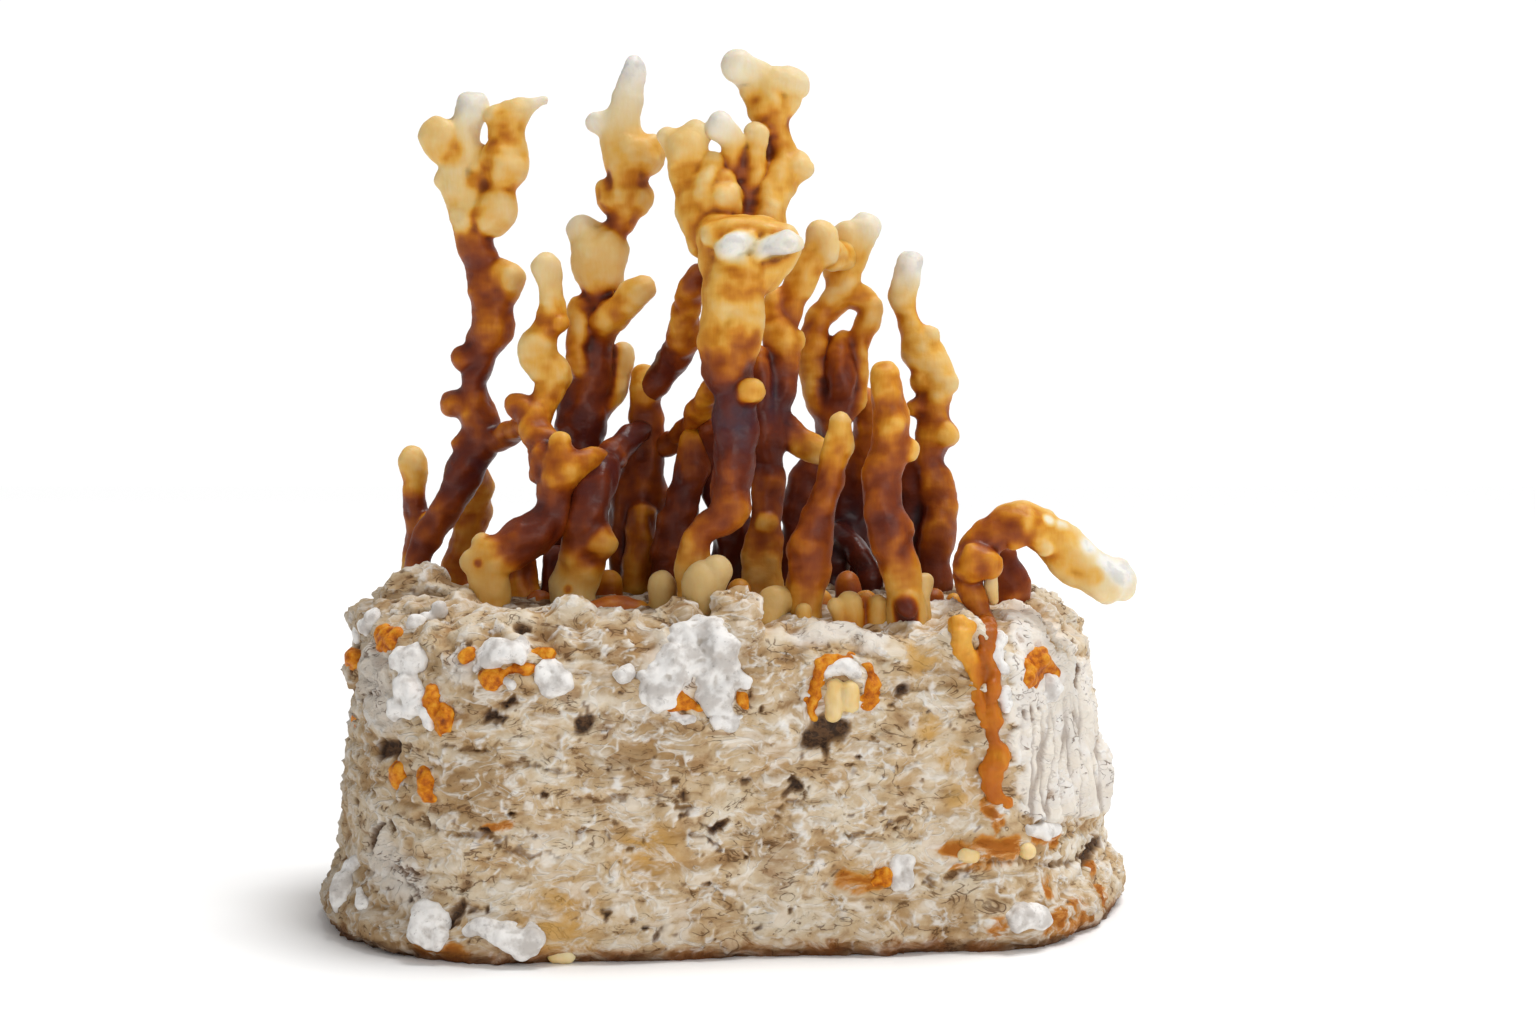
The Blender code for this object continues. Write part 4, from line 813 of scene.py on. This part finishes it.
def finish_skin(obj, balls, lumpiness=1.0):
    """Lumps, wrinkles and the ripeness of a skin."""
    points = points_of(obj)
    normals = normals_of(obj)
    edges = edges_of(obj)
    points = points + normals * (summed_waves(points, SKIN_WAVES) * lumpiness)[:, None]
    put_points(obj, points)
    hollow = hollowness(points, normals, edges, 14)
    broad = hollowness(points, normals, edges, 60)
    ripeness = add_spots(points, ripeness_at(points, balls))
    ripe = ease(ripeness, 12, 45)
    ripeness += (waves(points, 8, 5) * 6 + waves(points, (3, 3, 9), 6) * 1.5) * ripe
    # Painted highlight and shade: paler on the bulges and deeper in colour in the hollows, near and wide.
    ripeness += (np.clip(hollow * 21, -8, 9) + np.clip(broad * 13, -11, 15)) * ripe
    low = 1 - ease(points[:, 2], *SHADE_ENDS_UP)
    left = 1 - ease(points[:, 0], *SHADE_ENDS_ACROSS)
    put_values(obj, "ripeness", ripeness / 100)
    put_values(obj, "shaded", low * left)
    put_values(obj, "hollow", hollow / 0.8 + 0.5)


def settle(obj, look, nodes=()):
    """A finished piece's look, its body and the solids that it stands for."""
    obj.data.shade_smooth()
    obj.data.materials.append(look)
    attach(obj, "root")
    if nodes:
        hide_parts(*nodes)


def make_antler(name, nodes, runs, look):
    balls = balls_of(runs)
    antler = object_of_balls(name, balls)
    blend_into_skin(antler, ANTLER_VOXEL, ANTLER_SOFTENING)
    finish_skin(antler, balls)
    settle(antler, look, nodes)


def make_buds(look):
    balls = balls_of(BUDS)
    buds = object_of_balls("top_buds", balls)
    blend_into_skin(buds, BUD_VOXEL, ANTLER_SOFTENING)
    finish_skin(buds, balls, BUD_LUMPINESS)
    settle(buds, look)


def smooth_outline(points):
    """A closed curve through the outline's points, a few steps between each two."""
    count = len(points)
    flat = [Vector((x, y, 0)) for x, y in points]
    curve = []
    for i in range(count):
        before, start, end, after = (flat[(i + k) % count] for k in (-1, 0, 1, 2))
        leave = start + (end - before) / 6
        arrive = end - (after - start) / 6
        curve += interpolate_bezier(start, leave, arrive, end, OUTLINE_STEPS + 1)[:-1]
    return np.array(curve)


def block_core():
    """The points and faces of the block's body, one outline lofted through its levels."""
    outline = smooth_outline(BLOCK_OUTLINE)
    count = len(outline)
    levels = blend_run([(height, 0, 0, wide, deep) for height, wide, deep in BLOCK_LEVELS], 3)
    points = [outline * (wide, deep, 0) + (0, 0, height) for height, _, _, wide, deep in levels]
    faces = [
        (k * count + i, k * count + (i + 1) % count, (k + 1) * count + (i + 1) % count, (k + 1) * count + i)
        for k in range(len(levels) - 1) for i in range(count)
    ]
    points = np.vstack(points)
    bottom, top = len(points), len(points) + 1
    points = np.vstack([points, points[:count].mean(axis=0), points[-count:].mean(axis=0)])
    last = (len(levels) - 1) * count
    faces += [(bottom, (i + 1) % count, i, i) for i in range(count)]
    faces += [(top, last + i, last + (i + 1) % count, last + i) for i in range(count)]
    return points, [tuple(dict.fromkeys(face)) for face in faces]


def block_blank():
    """The block with its mounds, before its crust."""
    block = object_from("grow_block", *block_core())
    rows = [blend_run([joint_in_space(*joint) for joint in run], RUN_STEP) for run in MOUNDS]
    mounds = object_of_balls("mounds", np.vstack(rows))
    bm = bmesh.new()
    bm.from_mesh(block.data)
    bm.from_mesh(mounds.data)
    bm.to_mesh(block.data)
    bm.free()
    bpy.data.objects.remove(mounds)
    blend_into_skin(block, BLOCK_VOXEL, BLOCK_SOFTENING)
    return block


def face_of(obj):
    """The object's surface, for looking where a line of sight meets it."""
    bm = bmesh.new()
    bm.from_mesh(obj.data)
    surface = BVHTree.FromBMesh(bm)
    bm.free()
    return surface


def seen_on(surface, across, up, depth_in):
    """The point of the surface that the eye sees at (across, up), moved in, in millimetres."""
    hit, normal, _, _ = surface.ray_cast(EYE * MM, sight_ray(across, up).normalized())
    return None if hit is None else np.array(hit / MM - normal * depth_in)


def spots_on(surface, run, sink):
    """A run of (across, up, radius, ...) on the surface, as rows (x, y, z, radius, ...)."""
    rows = []
    for across, up, radius, *rest in run:
        spot = seen_on(surface, across, up, radius * sink)
        if spot is not None:
            rows.append((*spot, radius, *rest))
    return rows


def nearness(points, surface, runs, edge):
    """One on the runs' spots, falling to nothing at edge times their radius."""
    near = np.zeros(len(points))
    for run in runs:
        rows = spots_on(surface, run, 0)
        if not rows:
            continue
        for x, y, z, radius in blend_run(rows, 1.2):
            away = np.linalg.norm(points - (x, y, z), axis=1) / radius
            near = np.maximum(near, ease(-away, -edge, -0.35))
    return near


def crust(points, normals, surface):
    """The block's relief in millimetres, and the masks that colour it."""
    bent = points + sway(points, 4.5, 20, 1.9) + sway(points, 1.7, 23, 0.9)

    # Swellings, layers on the upright faces and a rough rim.
    relief = summed_waves(points, BLOCK_WAVES)
    side = 1 - ease(np.abs(normals[:, 2]), 0.5, 0.85)
    layers = waves(points + (waves(points, 26, 18) * 4)[:, None], (44, 44, 5.2), 9)
    relief += side * ease(np.abs(layers), 0.0, 0.16) * 0.7
    rim = ease(points[:, 2], 62, 70) * ease(np.hypot(points[:, 0] / 84, points[:, 1] / 54), 0.7, 0.95)
    relief += rim * waves(bent, 7.5, 17) * 3.2

    # Ragged flakes and wrinkles.
    relief += ease(waves(bent, (5.4, 5.4, 2.6), 10), -0.25, 0.3) * 0.6
    relief += np.abs(waves(bent, (3.6, 3.6, 2.4), 11)) * 0.5
    wrinkles = 1 - ease(np.abs(waves(bent, (6.2, 6.2, 4.2), 25)), 0.0, 0.13)
    wrinkles *= ease(waves(points, 7, 26), -0.25, 0.15)
    relief += wrinkles * 0.75

    # The white sheet, which is smooth above and hangs in flutes below.
    sheet = ease(nearness(bent, surface, WHITE_SHEET, 1.2), 0.15, 0.45)
    flutes = sheet * ease(-points[:, 2], -60, -44)
    swayed = points + (waves(points, 20, 27) * 3)[:, None]
    folds = np.abs(waves(swayed, (5.4, 5.4, 52), 12))
    grooves = flutes * (1 - ease(folds, 0.03, 0.12))
    relief += sheet * (1.3 - 0.5 * relief) + flutes * (folds * 5.2 - 1.2)

    # Holes and specks, fewer on the flutes, then the pits and creases that show on the faces.
    holes = dots(bent, (6.5, 6.5, 5), 13, (0.55, 0.6), (0.1, 0.26)) * (1 - 0.8 * flutes)
    relief -= holes * 1.3
    specks = dots(bent, 2.8, 14, (0.78, 0.82), (0.14, 0.3)) * (1 - 0.8 * flutes)
    relief -= specks * 0.3
    pits = nearness(bent, surface, PITS, 1.25)
    creases = nearness(bent, surface, CREASES, 1.6)
    white = np.maximum(nearness(bent, surface, WHITE_PATCHES, 1.1) * 0.8, sheet)
    relief += -pits * 2.2 - creases * 1.1 + white * 0.4

    middle = 1 - ease(np.hypot(points[:, 0] / 84, points[:, 1] / 56), 0.66, 0.94)
    return relief, {
        "top_shade": middle * ease(normals[:, 2], 0.45, 0.8),
        "white": white,
        "wrinkled": wrinkles,
        "groove_shade": grooves,
        "dark": np.maximum(pits, np.maximum(holes * 0.8, specks * 0.55)),
        "crease_shade": creases,
        "rust": nearness(bent, surface, RUST_STAINS, 1.2),
        "ochre": nearness(bent, surface, OCHRE_STAINS, 1.4),
        "brown": nearness(bent, surface, BROWN_PATCHES, 1.2),
    }


def cut_flat_below(obj):
    """Cut the underside off flat at the origin's height."""
    bm = bmesh.new()
    bm.from_mesh(obj.data)
    cut = bmesh.ops.bisect_plane(
        bm, geom=bm.verts[:] + bm.edges[:] + bm.faces[:],
        plane_co=(0, 0, 0), plane_no=(0, 0, 1), clear_inner=True,
    )
    rim = [item for item in cut["geom_cut"] if isinstance(item, bmesh.types.BMEdge)]
    bmesh.ops.contextual_create(bm, geom=rim)
    bm.to_mesh(obj.data)
    bm.free()


def keep_in_box(points, lowest):
    """Points held inside the solids' box, with a hair to spare, and above a height."""
    low = np.array(cad_box[0]) / MM + BOX_SPARE
    high = np.array(cad_box[1]) / MM - BOX_SPARE
    low[2] = lowest
    return np.clip(points, low, high)


def make_block(block, surface, look):
    points = points_of(block)
    normals = normals_of(block)
    edges = edges_of(block)
    relief, masks = crust(points, normals, surface)
    relief = relief - CRUST_SINK
    points = keep_in_box(points + normals * relief[:, None], -np.inf)
    put_points(block, points)
    # How deep each point lies in the relief's hollows, near and wide, for the painted shade there.
    put_values(block, "cavity", 0.5 + (spread(relief, edges, 10) - relief) / 1.6)
    put_values(block, "broad_cavity", 0.5 + (spread(relief, edges, 60) - relief) / 2.6)
    for name, values in masks.items():
        put_values(block, name, values)
    cut_flat_below(block)
    settle(block, look, ["substrate_block"])


def make_lumps(name, surface, runs, look, sink, voxel, roughness):
    """Lumps that grew on the block's faces, each a run of balls sunk partly in."""
    rows = [blend_run(spots_on(surface, run, sink), 0.8) for run in runs]
    balls = np.vstack([row for row in rows if len(row)])
    lumps = object_of_balls(name, balls)
    blend_into_skin(lumps, voxel, 3)
    points = points_of(lumps)
    normals = normals_of(lumps)
    moved = summed_waves(points, LUMP_WAVES) * roughness
    points = keep_in_box(points + normals * moved[:, None], BOX_SPARE)
    put_points(lumps, points)
    hollow = hollowness(points, normals, edges_of(lumps), 6)
    put_values(lumps, "hollow", hollow / 0.6 + 0.5)
    if balls.shape[1] > 4:
        put_values(lumps, "ripeness", (ripeness_at(points, balls) + waves(points, 4, 5) * 7) / 100)
    settle(lumps, look)


class Nodes:
    """Short calls for building one material's node tree."""

    def __init__(self, name):
        self.material = bpy.data.materials.new(name)
        self.material.use_nodes = True
        self.tree = self.material.node_tree
        self.shader = self.tree.nodes["Principled BSDF"]
        self.place = self.tree.nodes.new("ShaderNodeTexCoord").outputs["Object"]
        self.colour = None

    def link(self, value, socket):
        """Join a socket to another, or set it to a number or colour."""
        if isinstance(value, bpy.types.NodeSocket):
            self.tree.links.new(value, socket)
        else:
            socket.default_value = value

    def attribute(self, name):
        """A value that the mesh holds at each point, 0 to 1."""
        node = self.tree.nodes.new("ShaderNodeAttribute")
        node.attribute_name = name
        return node.outputs["Fac"]

    def noise(self, size, detail=4, roughness=0.55, stretch=(1, 1, 1), distortion=0.0):
        """Noise from 0 to 1 with features of this size in millimetres."""
        mapping = self.tree.nodes.new("ShaderNodeMapping")
        mapping.inputs["Scale"].default_value = [1 / (size * MM * s) for s in stretch]
        self.link(self.place, mapping.inputs["Vector"])
        node = self.tree.nodes.new("ShaderNodeTexNoise")
        node.inputs["Scale"].default_value = 1
        node.inputs["Detail"].default_value = detail
        node.inputs["Roughness"].default_value = roughness
        node.inputs["Distortion"].default_value = distortion
        self.link(mapping.outputs["Vector"], node.inputs["Vector"])
        return node.outputs["Fac"]

    def math(self, operation, first, second=0.0):
        node = self.tree.nodes.new("ShaderNodeMath")
        node.operation = operation
        self.link(first, node.inputs[0])
        self.link(second, node.inputs[1])
        return node.outputs[0]

    def times(self, first, second):
        return self.math("MULTIPLY", first, second)

    def scaled(self, value, middle, share):
        """How far the value lies above the middle, times a share."""
        return self.times(self.math("SUBTRACT", value, middle), share)

    def band(self, value, low, high, to_low=0.0, to_high=1.0):
        """The value carried smoothly from low..high to to_low..to_high, and held there."""
        node = self.tree.nodes.new("ShaderNodeMapRange")
        node.interpolation_type = "SMOOTHSTEP"
        self.link(value, node.inputs["Value"])
        ends = {"From Min": low, "From Max": high, "To Min": to_low, "To Max": to_high}
        for name, number in ends.items():
            node.inputs[name].default_value = number
        return node.outputs["Result"]

    def ramp(self, value, stops):
        """The colour at this value among stops of (value, colour)."""
        node = self.tree.nodes.new("ShaderNodeValToRGB")
        elements = node.color_ramp.elements
        while len(elements) < len(stops):
            elements.new(0.5)
        for element, (position, colour) in zip(elements, stops):
            element.position = position
            element.color = (*from_screen(colour), 1)
        self.link(value, node.inputs["Fac"])
        return node.outputs["Color"]

    def mix(self, share, first, second, blend="MIX"):
        """The first colour with this share of the second, mixed or multiplied in."""
        node = self.tree.nodes.new("ShaderNodeMix")
        node.data_type = "RGBA"
        node.blend_type = blend
        self.link(share, node.inputs["Factor"])
        for value, socket in ((first, node.inputs["A"]), (second, node.inputs["B"])):
            if not isinstance(value, bpy.types.NodeSocket):
                value = (*from_screen(value), 1)
            self.link(value, socket)
        return node.outputs["Result"]

    def paint(self, share, colour, blend="MIX"):
        """Lay a colour over this share of what is painted so far."""
        self.colour = self.mix(share, self.colour, colour, blend)

    def bump(self, height, depth, strength=1.0):
        """Fine relief: the height, 0 to 1, stands for this many millimetres."""
        node = self.tree.nodes.new("ShaderNodeBump")
        node.inputs["Strength"].default_value = strength
        node.inputs["Distance"].default_value = depth * MM
        self.link(height, node.inputs["Height"])
        self.link(node.outputs["Normal"], self.shader.inputs["Normal"])

    def set(self, **values):
        """Set or join the shader's own sockets, named with underscores."""
        for name, value in values.items():
            self.link(value, self.shader.inputs[name.replace("_", " ")])


def from_screen(colour):
    """A colour of 0 to 255 as seen on a screen, as light."""
    share = np.array(colour, float) / 255
    return tuple(np.where(share <= 0.04045, share / 12.92, ((share + 0.055) / 1.055) ** 2.4))


def waxy_look(name, orange=0.0):
    """Waxy, faintly translucent skin, coloured by its ripeness, with more orange where it is ripe."""
    nodes = Nodes(name)
    ripe = nodes.attribute("ripeness")
    mottle = nodes.scaled(nodes.noise(3.0, 5, 0.6, (1, 1, 1.6), 0.4), 0.5, 0.04)
    streaks = nodes.scaled(nodes.noise(0.9, 3, 0.6, (1, 1, 5), 0.3), 0.5, 0.07)
    tone = nodes.math("ADD", ripe, nodes.math("ADD", mottle, streaks))
    nodes.colour = nodes.ramp(tone, RIPENESS_COLOURS)
    # Painted shade in the hollows of the skin.
    nodes.paint(nodes.band(nodes.attribute("hollow"), 0.62, 1.0, 0, 0.45), (70, 32, 14), "MULTIPLY")
    if orange:
        nodes.paint(nodes.band(ripe, 0.38, 0.5, 0, orange), (226, 132, 14))
    nodes.paint(nodes.attribute("shaded"), (224, 208, 176), "MULTIPLY")
    tip = nodes.band(ripe, 0.07, 0.01)
    greyed = nodes.band(nodes.noise(3.4, 4), 0.45, 0.62, 0, 0.35)
    nodes.paint(nodes.times(tip, greyed), (176, 176, 174))
    uneven = nodes.scaled(nodes.noise(3, 4), 0.5, 0.2)
    nodes.set(Roughness=nodes.math("ADD", nodes.band(ripe, 0.45, 0.85, 0.46, 0.32), uneven))
    nodes.set(Base_Color=nodes.colour, Specular_IOR_Level=0.26)
    nodes.set(Subsurface_Weight=0.35, Subsurface_Radius=(1.0, 0.45, 0.18), Subsurface_Scale=0.0022)
    drawn_out = nodes.times(nodes.noise(3.2, 3, 0.5, (1, 1, 0.5)), 1.4)
    nodes.bump(nodes.math("ADD", nodes.noise(1.1, 5, 0.6), drawn_out), 0.16, 0.7)
    return nodes.material


def chalky_look(name):
    """Matt white lumps of dense mycelium, with painted grey shade in their hollows."""
    nodes = Nodes(name)
    nodes.colour = nodes.mix(nodes.band(nodes.noise(5, 4), 0.42, 0.64), (238, 235, 231), (198, 192, 186))
    # Painted shade in the hollows of the lumps.
    nodes.paint(nodes.band(nodes.attribute("hollow"), 0.55, 0.9, 0, 0.65), (156, 142, 126))
    nodes.paint(nodes.band(nodes.noise(1.6, 5, 0.7), 0.56, 0.72, 0, 0.6), (146, 138, 132))
    nodes.set(Base_Color=nodes.colour, Roughness=0.8)
    nodes.set(Subsurface_Weight=0.15, Subsurface_Radius=(1.0, 0.9, 0.8), Subsurface_Scale=0.001)
    nodes.bump(nodes.noise(0.9, 5, 0.65), 0.2, 0.8)
    return nodes.material


def orange_look(name):
    """Bright orange, wet-looking tissue that breaks through the crust."""
    nodes = Nodes(name)
    # The colour deepens in the hollows: painted shade.
    tone = nodes.math("ADD", nodes.noise(2.0, 5, 0.65), nodes.times(nodes.attribute("hollow"), 0.35))
    nodes.set(Base_Color=nodes.ramp(tone, ORANGE_COLOURS), Roughness=0.5, Specular_IOR_Level=0.2)
    nodes.set(Subsurface_Weight=0.1, Subsurface_Radius=(1.0, 0.5, 0.1), Subsurface_Scale=0.001)
    nodes.bump(nodes.noise(0.9, 5, 0.65), 0.25, 0.9)
    return nodes.material


def crust_look(name):
    """Crumbly mycelium over sawdust: white felt, beige crust and brown crumbs, with painted shade in its
    hollows, creases and grooves, on its top among the stems, low down and at its left end.
    """
    nodes = Nodes(name)
    white, brown, groove_shade, dark = (nodes.attribute(mask) for mask in ("white", "brown", "groove_shade", "dark"))
    cavity = nodes.scaled(nodes.attribute("cavity"), 0.5, 0.7)
    broad = nodes.scaled(nodes.attribute("broad_cavity"), 0.5, 1.0)
    cloud = nodes.noise(11, 5, 0.6)
    flakes = nodes.noise(6.2, 5, 0.58, (1.25, 1.25, 0.75), 0.6)
    crumbs = nodes.noise(1.3, 4, 0.6, (1.1, 1.1, 0.8), 0.4)

    # Beige clouds with painted shade in the broad hollows, white and brown patches, and flakes that are
    # pale on top with painted shade below them, deepest in the hollows.
    nodes.colour = nodes.ramp(nodes.math("SUBTRACT", cloud, nodes.times(broad, 0.3)), CRUST_COLOURS)
    nodes.paint(nodes.times(white, 0.85), (236, 232, 227))
    nodes.paint(nodes.times(brown, 0.6), (164, 130, 86))
    level = nodes.math("SUBTRACT", flakes, nodes.times(cavity, 0.3))
    level = nodes.math("ADD", level, nodes.times(white, 0.08))
    level = nodes.math("SUBTRACT", level, nodes.times(brown, 0.06))
    nodes.paint(nodes.band(level, 0.48, 0.66, 0, 0.65), (230, 219, 203))
    nodes.paint(nodes.band(level, 0.45, 0.3, 0, 0.65), (154, 116, 76))

    # Pale curled strokes, dark cracks, pale wrinkles and painted shade in the grooves between the flutes.
    curls = nodes.noise(6.0, 1.5, 0.5, (1.3, 1.3, 0.8), 1.6)
    strokes = nodes.band(nodes.math("ABSOLUTE", nodes.scaled(curls, 0.52, 1.0)), 0.08, 0.01)
    strokes = nodes.times(strokes, nodes.band(flakes, 0.42, 0.6))
    nodes.paint(nodes.times(strokes, 0.7), (236, 229, 218))
    lines = nodes.noise(7.0, 2, 0.5, (1.4, 1.4, 0.7), 1.6)
    cracks = nodes.band(nodes.math("ABSOLUTE", nodes.scaled(lines, 0.47, 1.0)), 0.026, 0.006)
    cracks = nodes.times(cracks, nodes.band(flakes, 0.52, 0.4))
    cracks = nodes.times(cracks, nodes.band(groove_shade, 0.0, 0.02, 1, 0.4))
    nodes.paint(nodes.times(cracks, 0.72), (100, 68, 40))
    nodes.paint(nodes.band(nodes.attribute("wrinkled"), 0.3, 1, 0, 0.7), (238, 235, 231))
    nodes.paint(nodes.times(groove_shade, 0.7), (150, 132, 118))

    # Painted shade on the top among the stems, specks of sawdust, and stains.
    top_shade = nodes.times(nodes.attribute("top_shade"), nodes.band(flakes, 0.62, 0.42, 0.35, 1.0))
    nodes.paint(nodes.times(top_shade, 0.85), (96, 64, 36))
    speck = nodes.band(nodes.math("SUBTRACT", crumbs, nodes.times(level, 0.35)), 0.46, 0.54)
    nodes.paint(nodes.times(speck, 0.6), (112, 78, 48))
    ochre = nodes.times(nodes.attribute("ochre"), nodes.band(flakes, 0.62, 0.42, 0.2, 0.85))
    nodes.paint(ochre, (204, 158, 84))
    rust = nodes.times(nodes.attribute("rust"), nodes.band(flakes, 0.62, 0.38, 0.15, 1.0))
    nodes.paint(nodes.band(rust, 0.05, 0.5, 0, 0.85), (198, 126, 32))
    nodes.paint(nodes.band(rust, 0.4, 0.9, 0, 0.8), (162, 86, 12))

    # Painted shade in the creases, and a dark soil brown in the pits, holes and specks that is partly their
    # own colour and partly painted shade.
    nodes.paint(nodes.band(nodes.attribute("crease_shade"), 0.2, 0.9, 0, 0.6), (104, 72, 44))
    nodes.paint(nodes.band(dark, 0.05, 0.5, 0, 0.7), (118, 86, 56))
    soil_and_shade = nodes.mix(nodes.band(crumbs, 0.4, 0.6), (48, 34, 28), (98, 70, 48))
    nodes.paint(nodes.band(dark, 0.4, 0.85, 0, 0.9), soil_and_shade)

    # A rusty foot, then painted shade: a dark line along the bottom edge, a darkening towards the bottom of
    # the block, and a darker left end.
    place = nodes.tree.nodes.new("ShaderNodeSeparateXYZ")
    nodes.link(nodes.place, place.inputs[0])
    low = nodes.math("ADD", place.outputs["Z"], nodes.scaled(flakes, 0.5, 0.008))
    foot = nodes.times(nodes.band(low, 0.005, 0.001), nodes.band(cloud, 0.4, 0.6, 0.15, 0.9))
    nodes.paint(foot, (182, 116, 40))
    nodes.paint(nodes.band(low, 0.004, 0.0005, 0, 0.8), (120, 88, 60), "MULTIPLY")
    nodes.paint(nodes.band(place.outputs["Z"], 0.02, 0.0, 0, 0.3), (178, 170, 160), "MULTIPLY")
    nodes.paint(nodes.band(place.outputs["X"], -0.04, -0.1, 0, 0.6), (206, 200, 194), "MULTIPLY")

    nodes.set(Base_Color=nodes.colour, Roughness=0.88, Specular_IOR_Level=0.25)
    nodes.set(Subsurface_Weight=0.1, Subsurface_Radius=(1.0, 0.8, 0.6), Subsurface_Scale=0.001)
    height = nodes.math("ADD", flakes, nodes.scaled(crumbs, 0.5, -0.35))
    height = nodes.math("ADD", height, nodes.times(strokes, 0.3))
    height = nodes.math("SUBTRACT", height, nodes.times(cracks, 0.3))
    nodes.bump(height, 0.7, 0.9)
    return nodes.material


def plain_look(name, colour, roughness):
    """One colour all over, for the floor."""
    nodes = Nodes(name)
    nodes.set(Base_Color=(*from_screen(colour), 1), Roughness=roughness)
    return nodes.material


def add_floor():
    """A plain pale floor, far wider than the view."""
    bpy.ops.mesh.primitive_plane_add(size=FLOOR_WIDTH, location=(0, 0, 0))
    floor = bpy.context.object
    floor.name = "floor"
    floor.data.materials.append(plain_look("floor_white", (254, 254, 254), 0.9))


def add_lamp(name, kind, place, power):
    """A lamp at a place, aimed at the middle of the object."""
    light = bpy.data.lights.new(name, kind)
    light.energy = power
    lamp = bpy.data.objects.new(name, light)
    lamp.location = place
    lamp.rotation_euler = (Vector(LAMPS_AIM) - Vector(place)).to_track_quat("-Z", "Y").to_euler()
    bpy.context.scene.collection.objects.link(lamp)
    return light


def light_the_scene():
    """An even glow that the eye sees as white, the sun and the lamps."""
    world = bpy.data.worlds.new("studio")
    world.use_nodes = True
    background = world.node_tree.nodes["Background"]
    background.inputs["Color"].default_value = (1, 1, 1, 1)
    seen = world.node_tree.nodes.new("ShaderNodeLightPath").outputs["Is Camera Ray"]
    strength = world.node_tree.nodes.new("ShaderNodeMapRange")
    strength.inputs["To Min"].default_value = AMBIENT
    strength.inputs["To Max"].default_value = BACKDROP_STRENGTH
    world.node_tree.links.new(seen, strength.inputs["Value"])
    world.node_tree.links.new(strength.outputs["Result"], background.inputs["Strength"])
    bpy.context.scene.world = world
    bpy.context.scene.view_settings.view_transform = "Standard"
    for name, place, size, power in LAMPS:
        add_lamp(name, "AREA", place, power).size = size
    add_lamp("sun", "SUN", SUN_FROM, SUN_STRENGTH).angle = SUN_WIDTH


def add_camera():
    camera = bpy.data.cameras.new("camera")
    camera.lens = LENS
    camera.sensor_width = SENSOR
    camera.clip_start = 0.01
    eye = bpy.data.objects.new("camera", camera)
    eye.location = EYE * MM
    eye.rotation_euler = (LOOKED_AT - EYE).to_track_quat("-Z", "Y").to_euler()
    bpy.context.scene.collection.objects.link(eye)
    bpy.context.scene.camera = eye


def main():
    skin = waxy_look("waxy_skin")
    for name, slot, nodes, runs in ANTLERS:
        make_antler(name, nodes, runs, skin)
    block = block_blank()
    make_block(block, face_of(block), crust_look("mycelium_crust"))
    surface = face_of(block)
    make_lumps("white_lumps", surface, WHITE_LUMPS, chalky_look("chalky_white"),
               sink=0.25, voxel=0.5, roughness=0.8)
    make_lumps("orange_tissue", surface, ORANGE_LUMPS, orange_look("orange_tissue"),
               sink=0.45, voxel=0.45, roughness=0.9)
    beads = [[(*bead, BEAD_RIPENESS) for bead in run] for run in CREAM_BEADS]
    make_lumps("cream_beads", surface, beads, skin, sink=0.2, voxel=0.4, roughness=0.3)
    make_lumps("corner_band", surface, CORNER_BAND, waxy_look("orange_skin", BAND_ORANGE),
               sink=0.25, voxel=0.45, roughness=0.8)
    make_buds(skin)
    add_floor()
    light_the_scene()
    add_camera()


main()
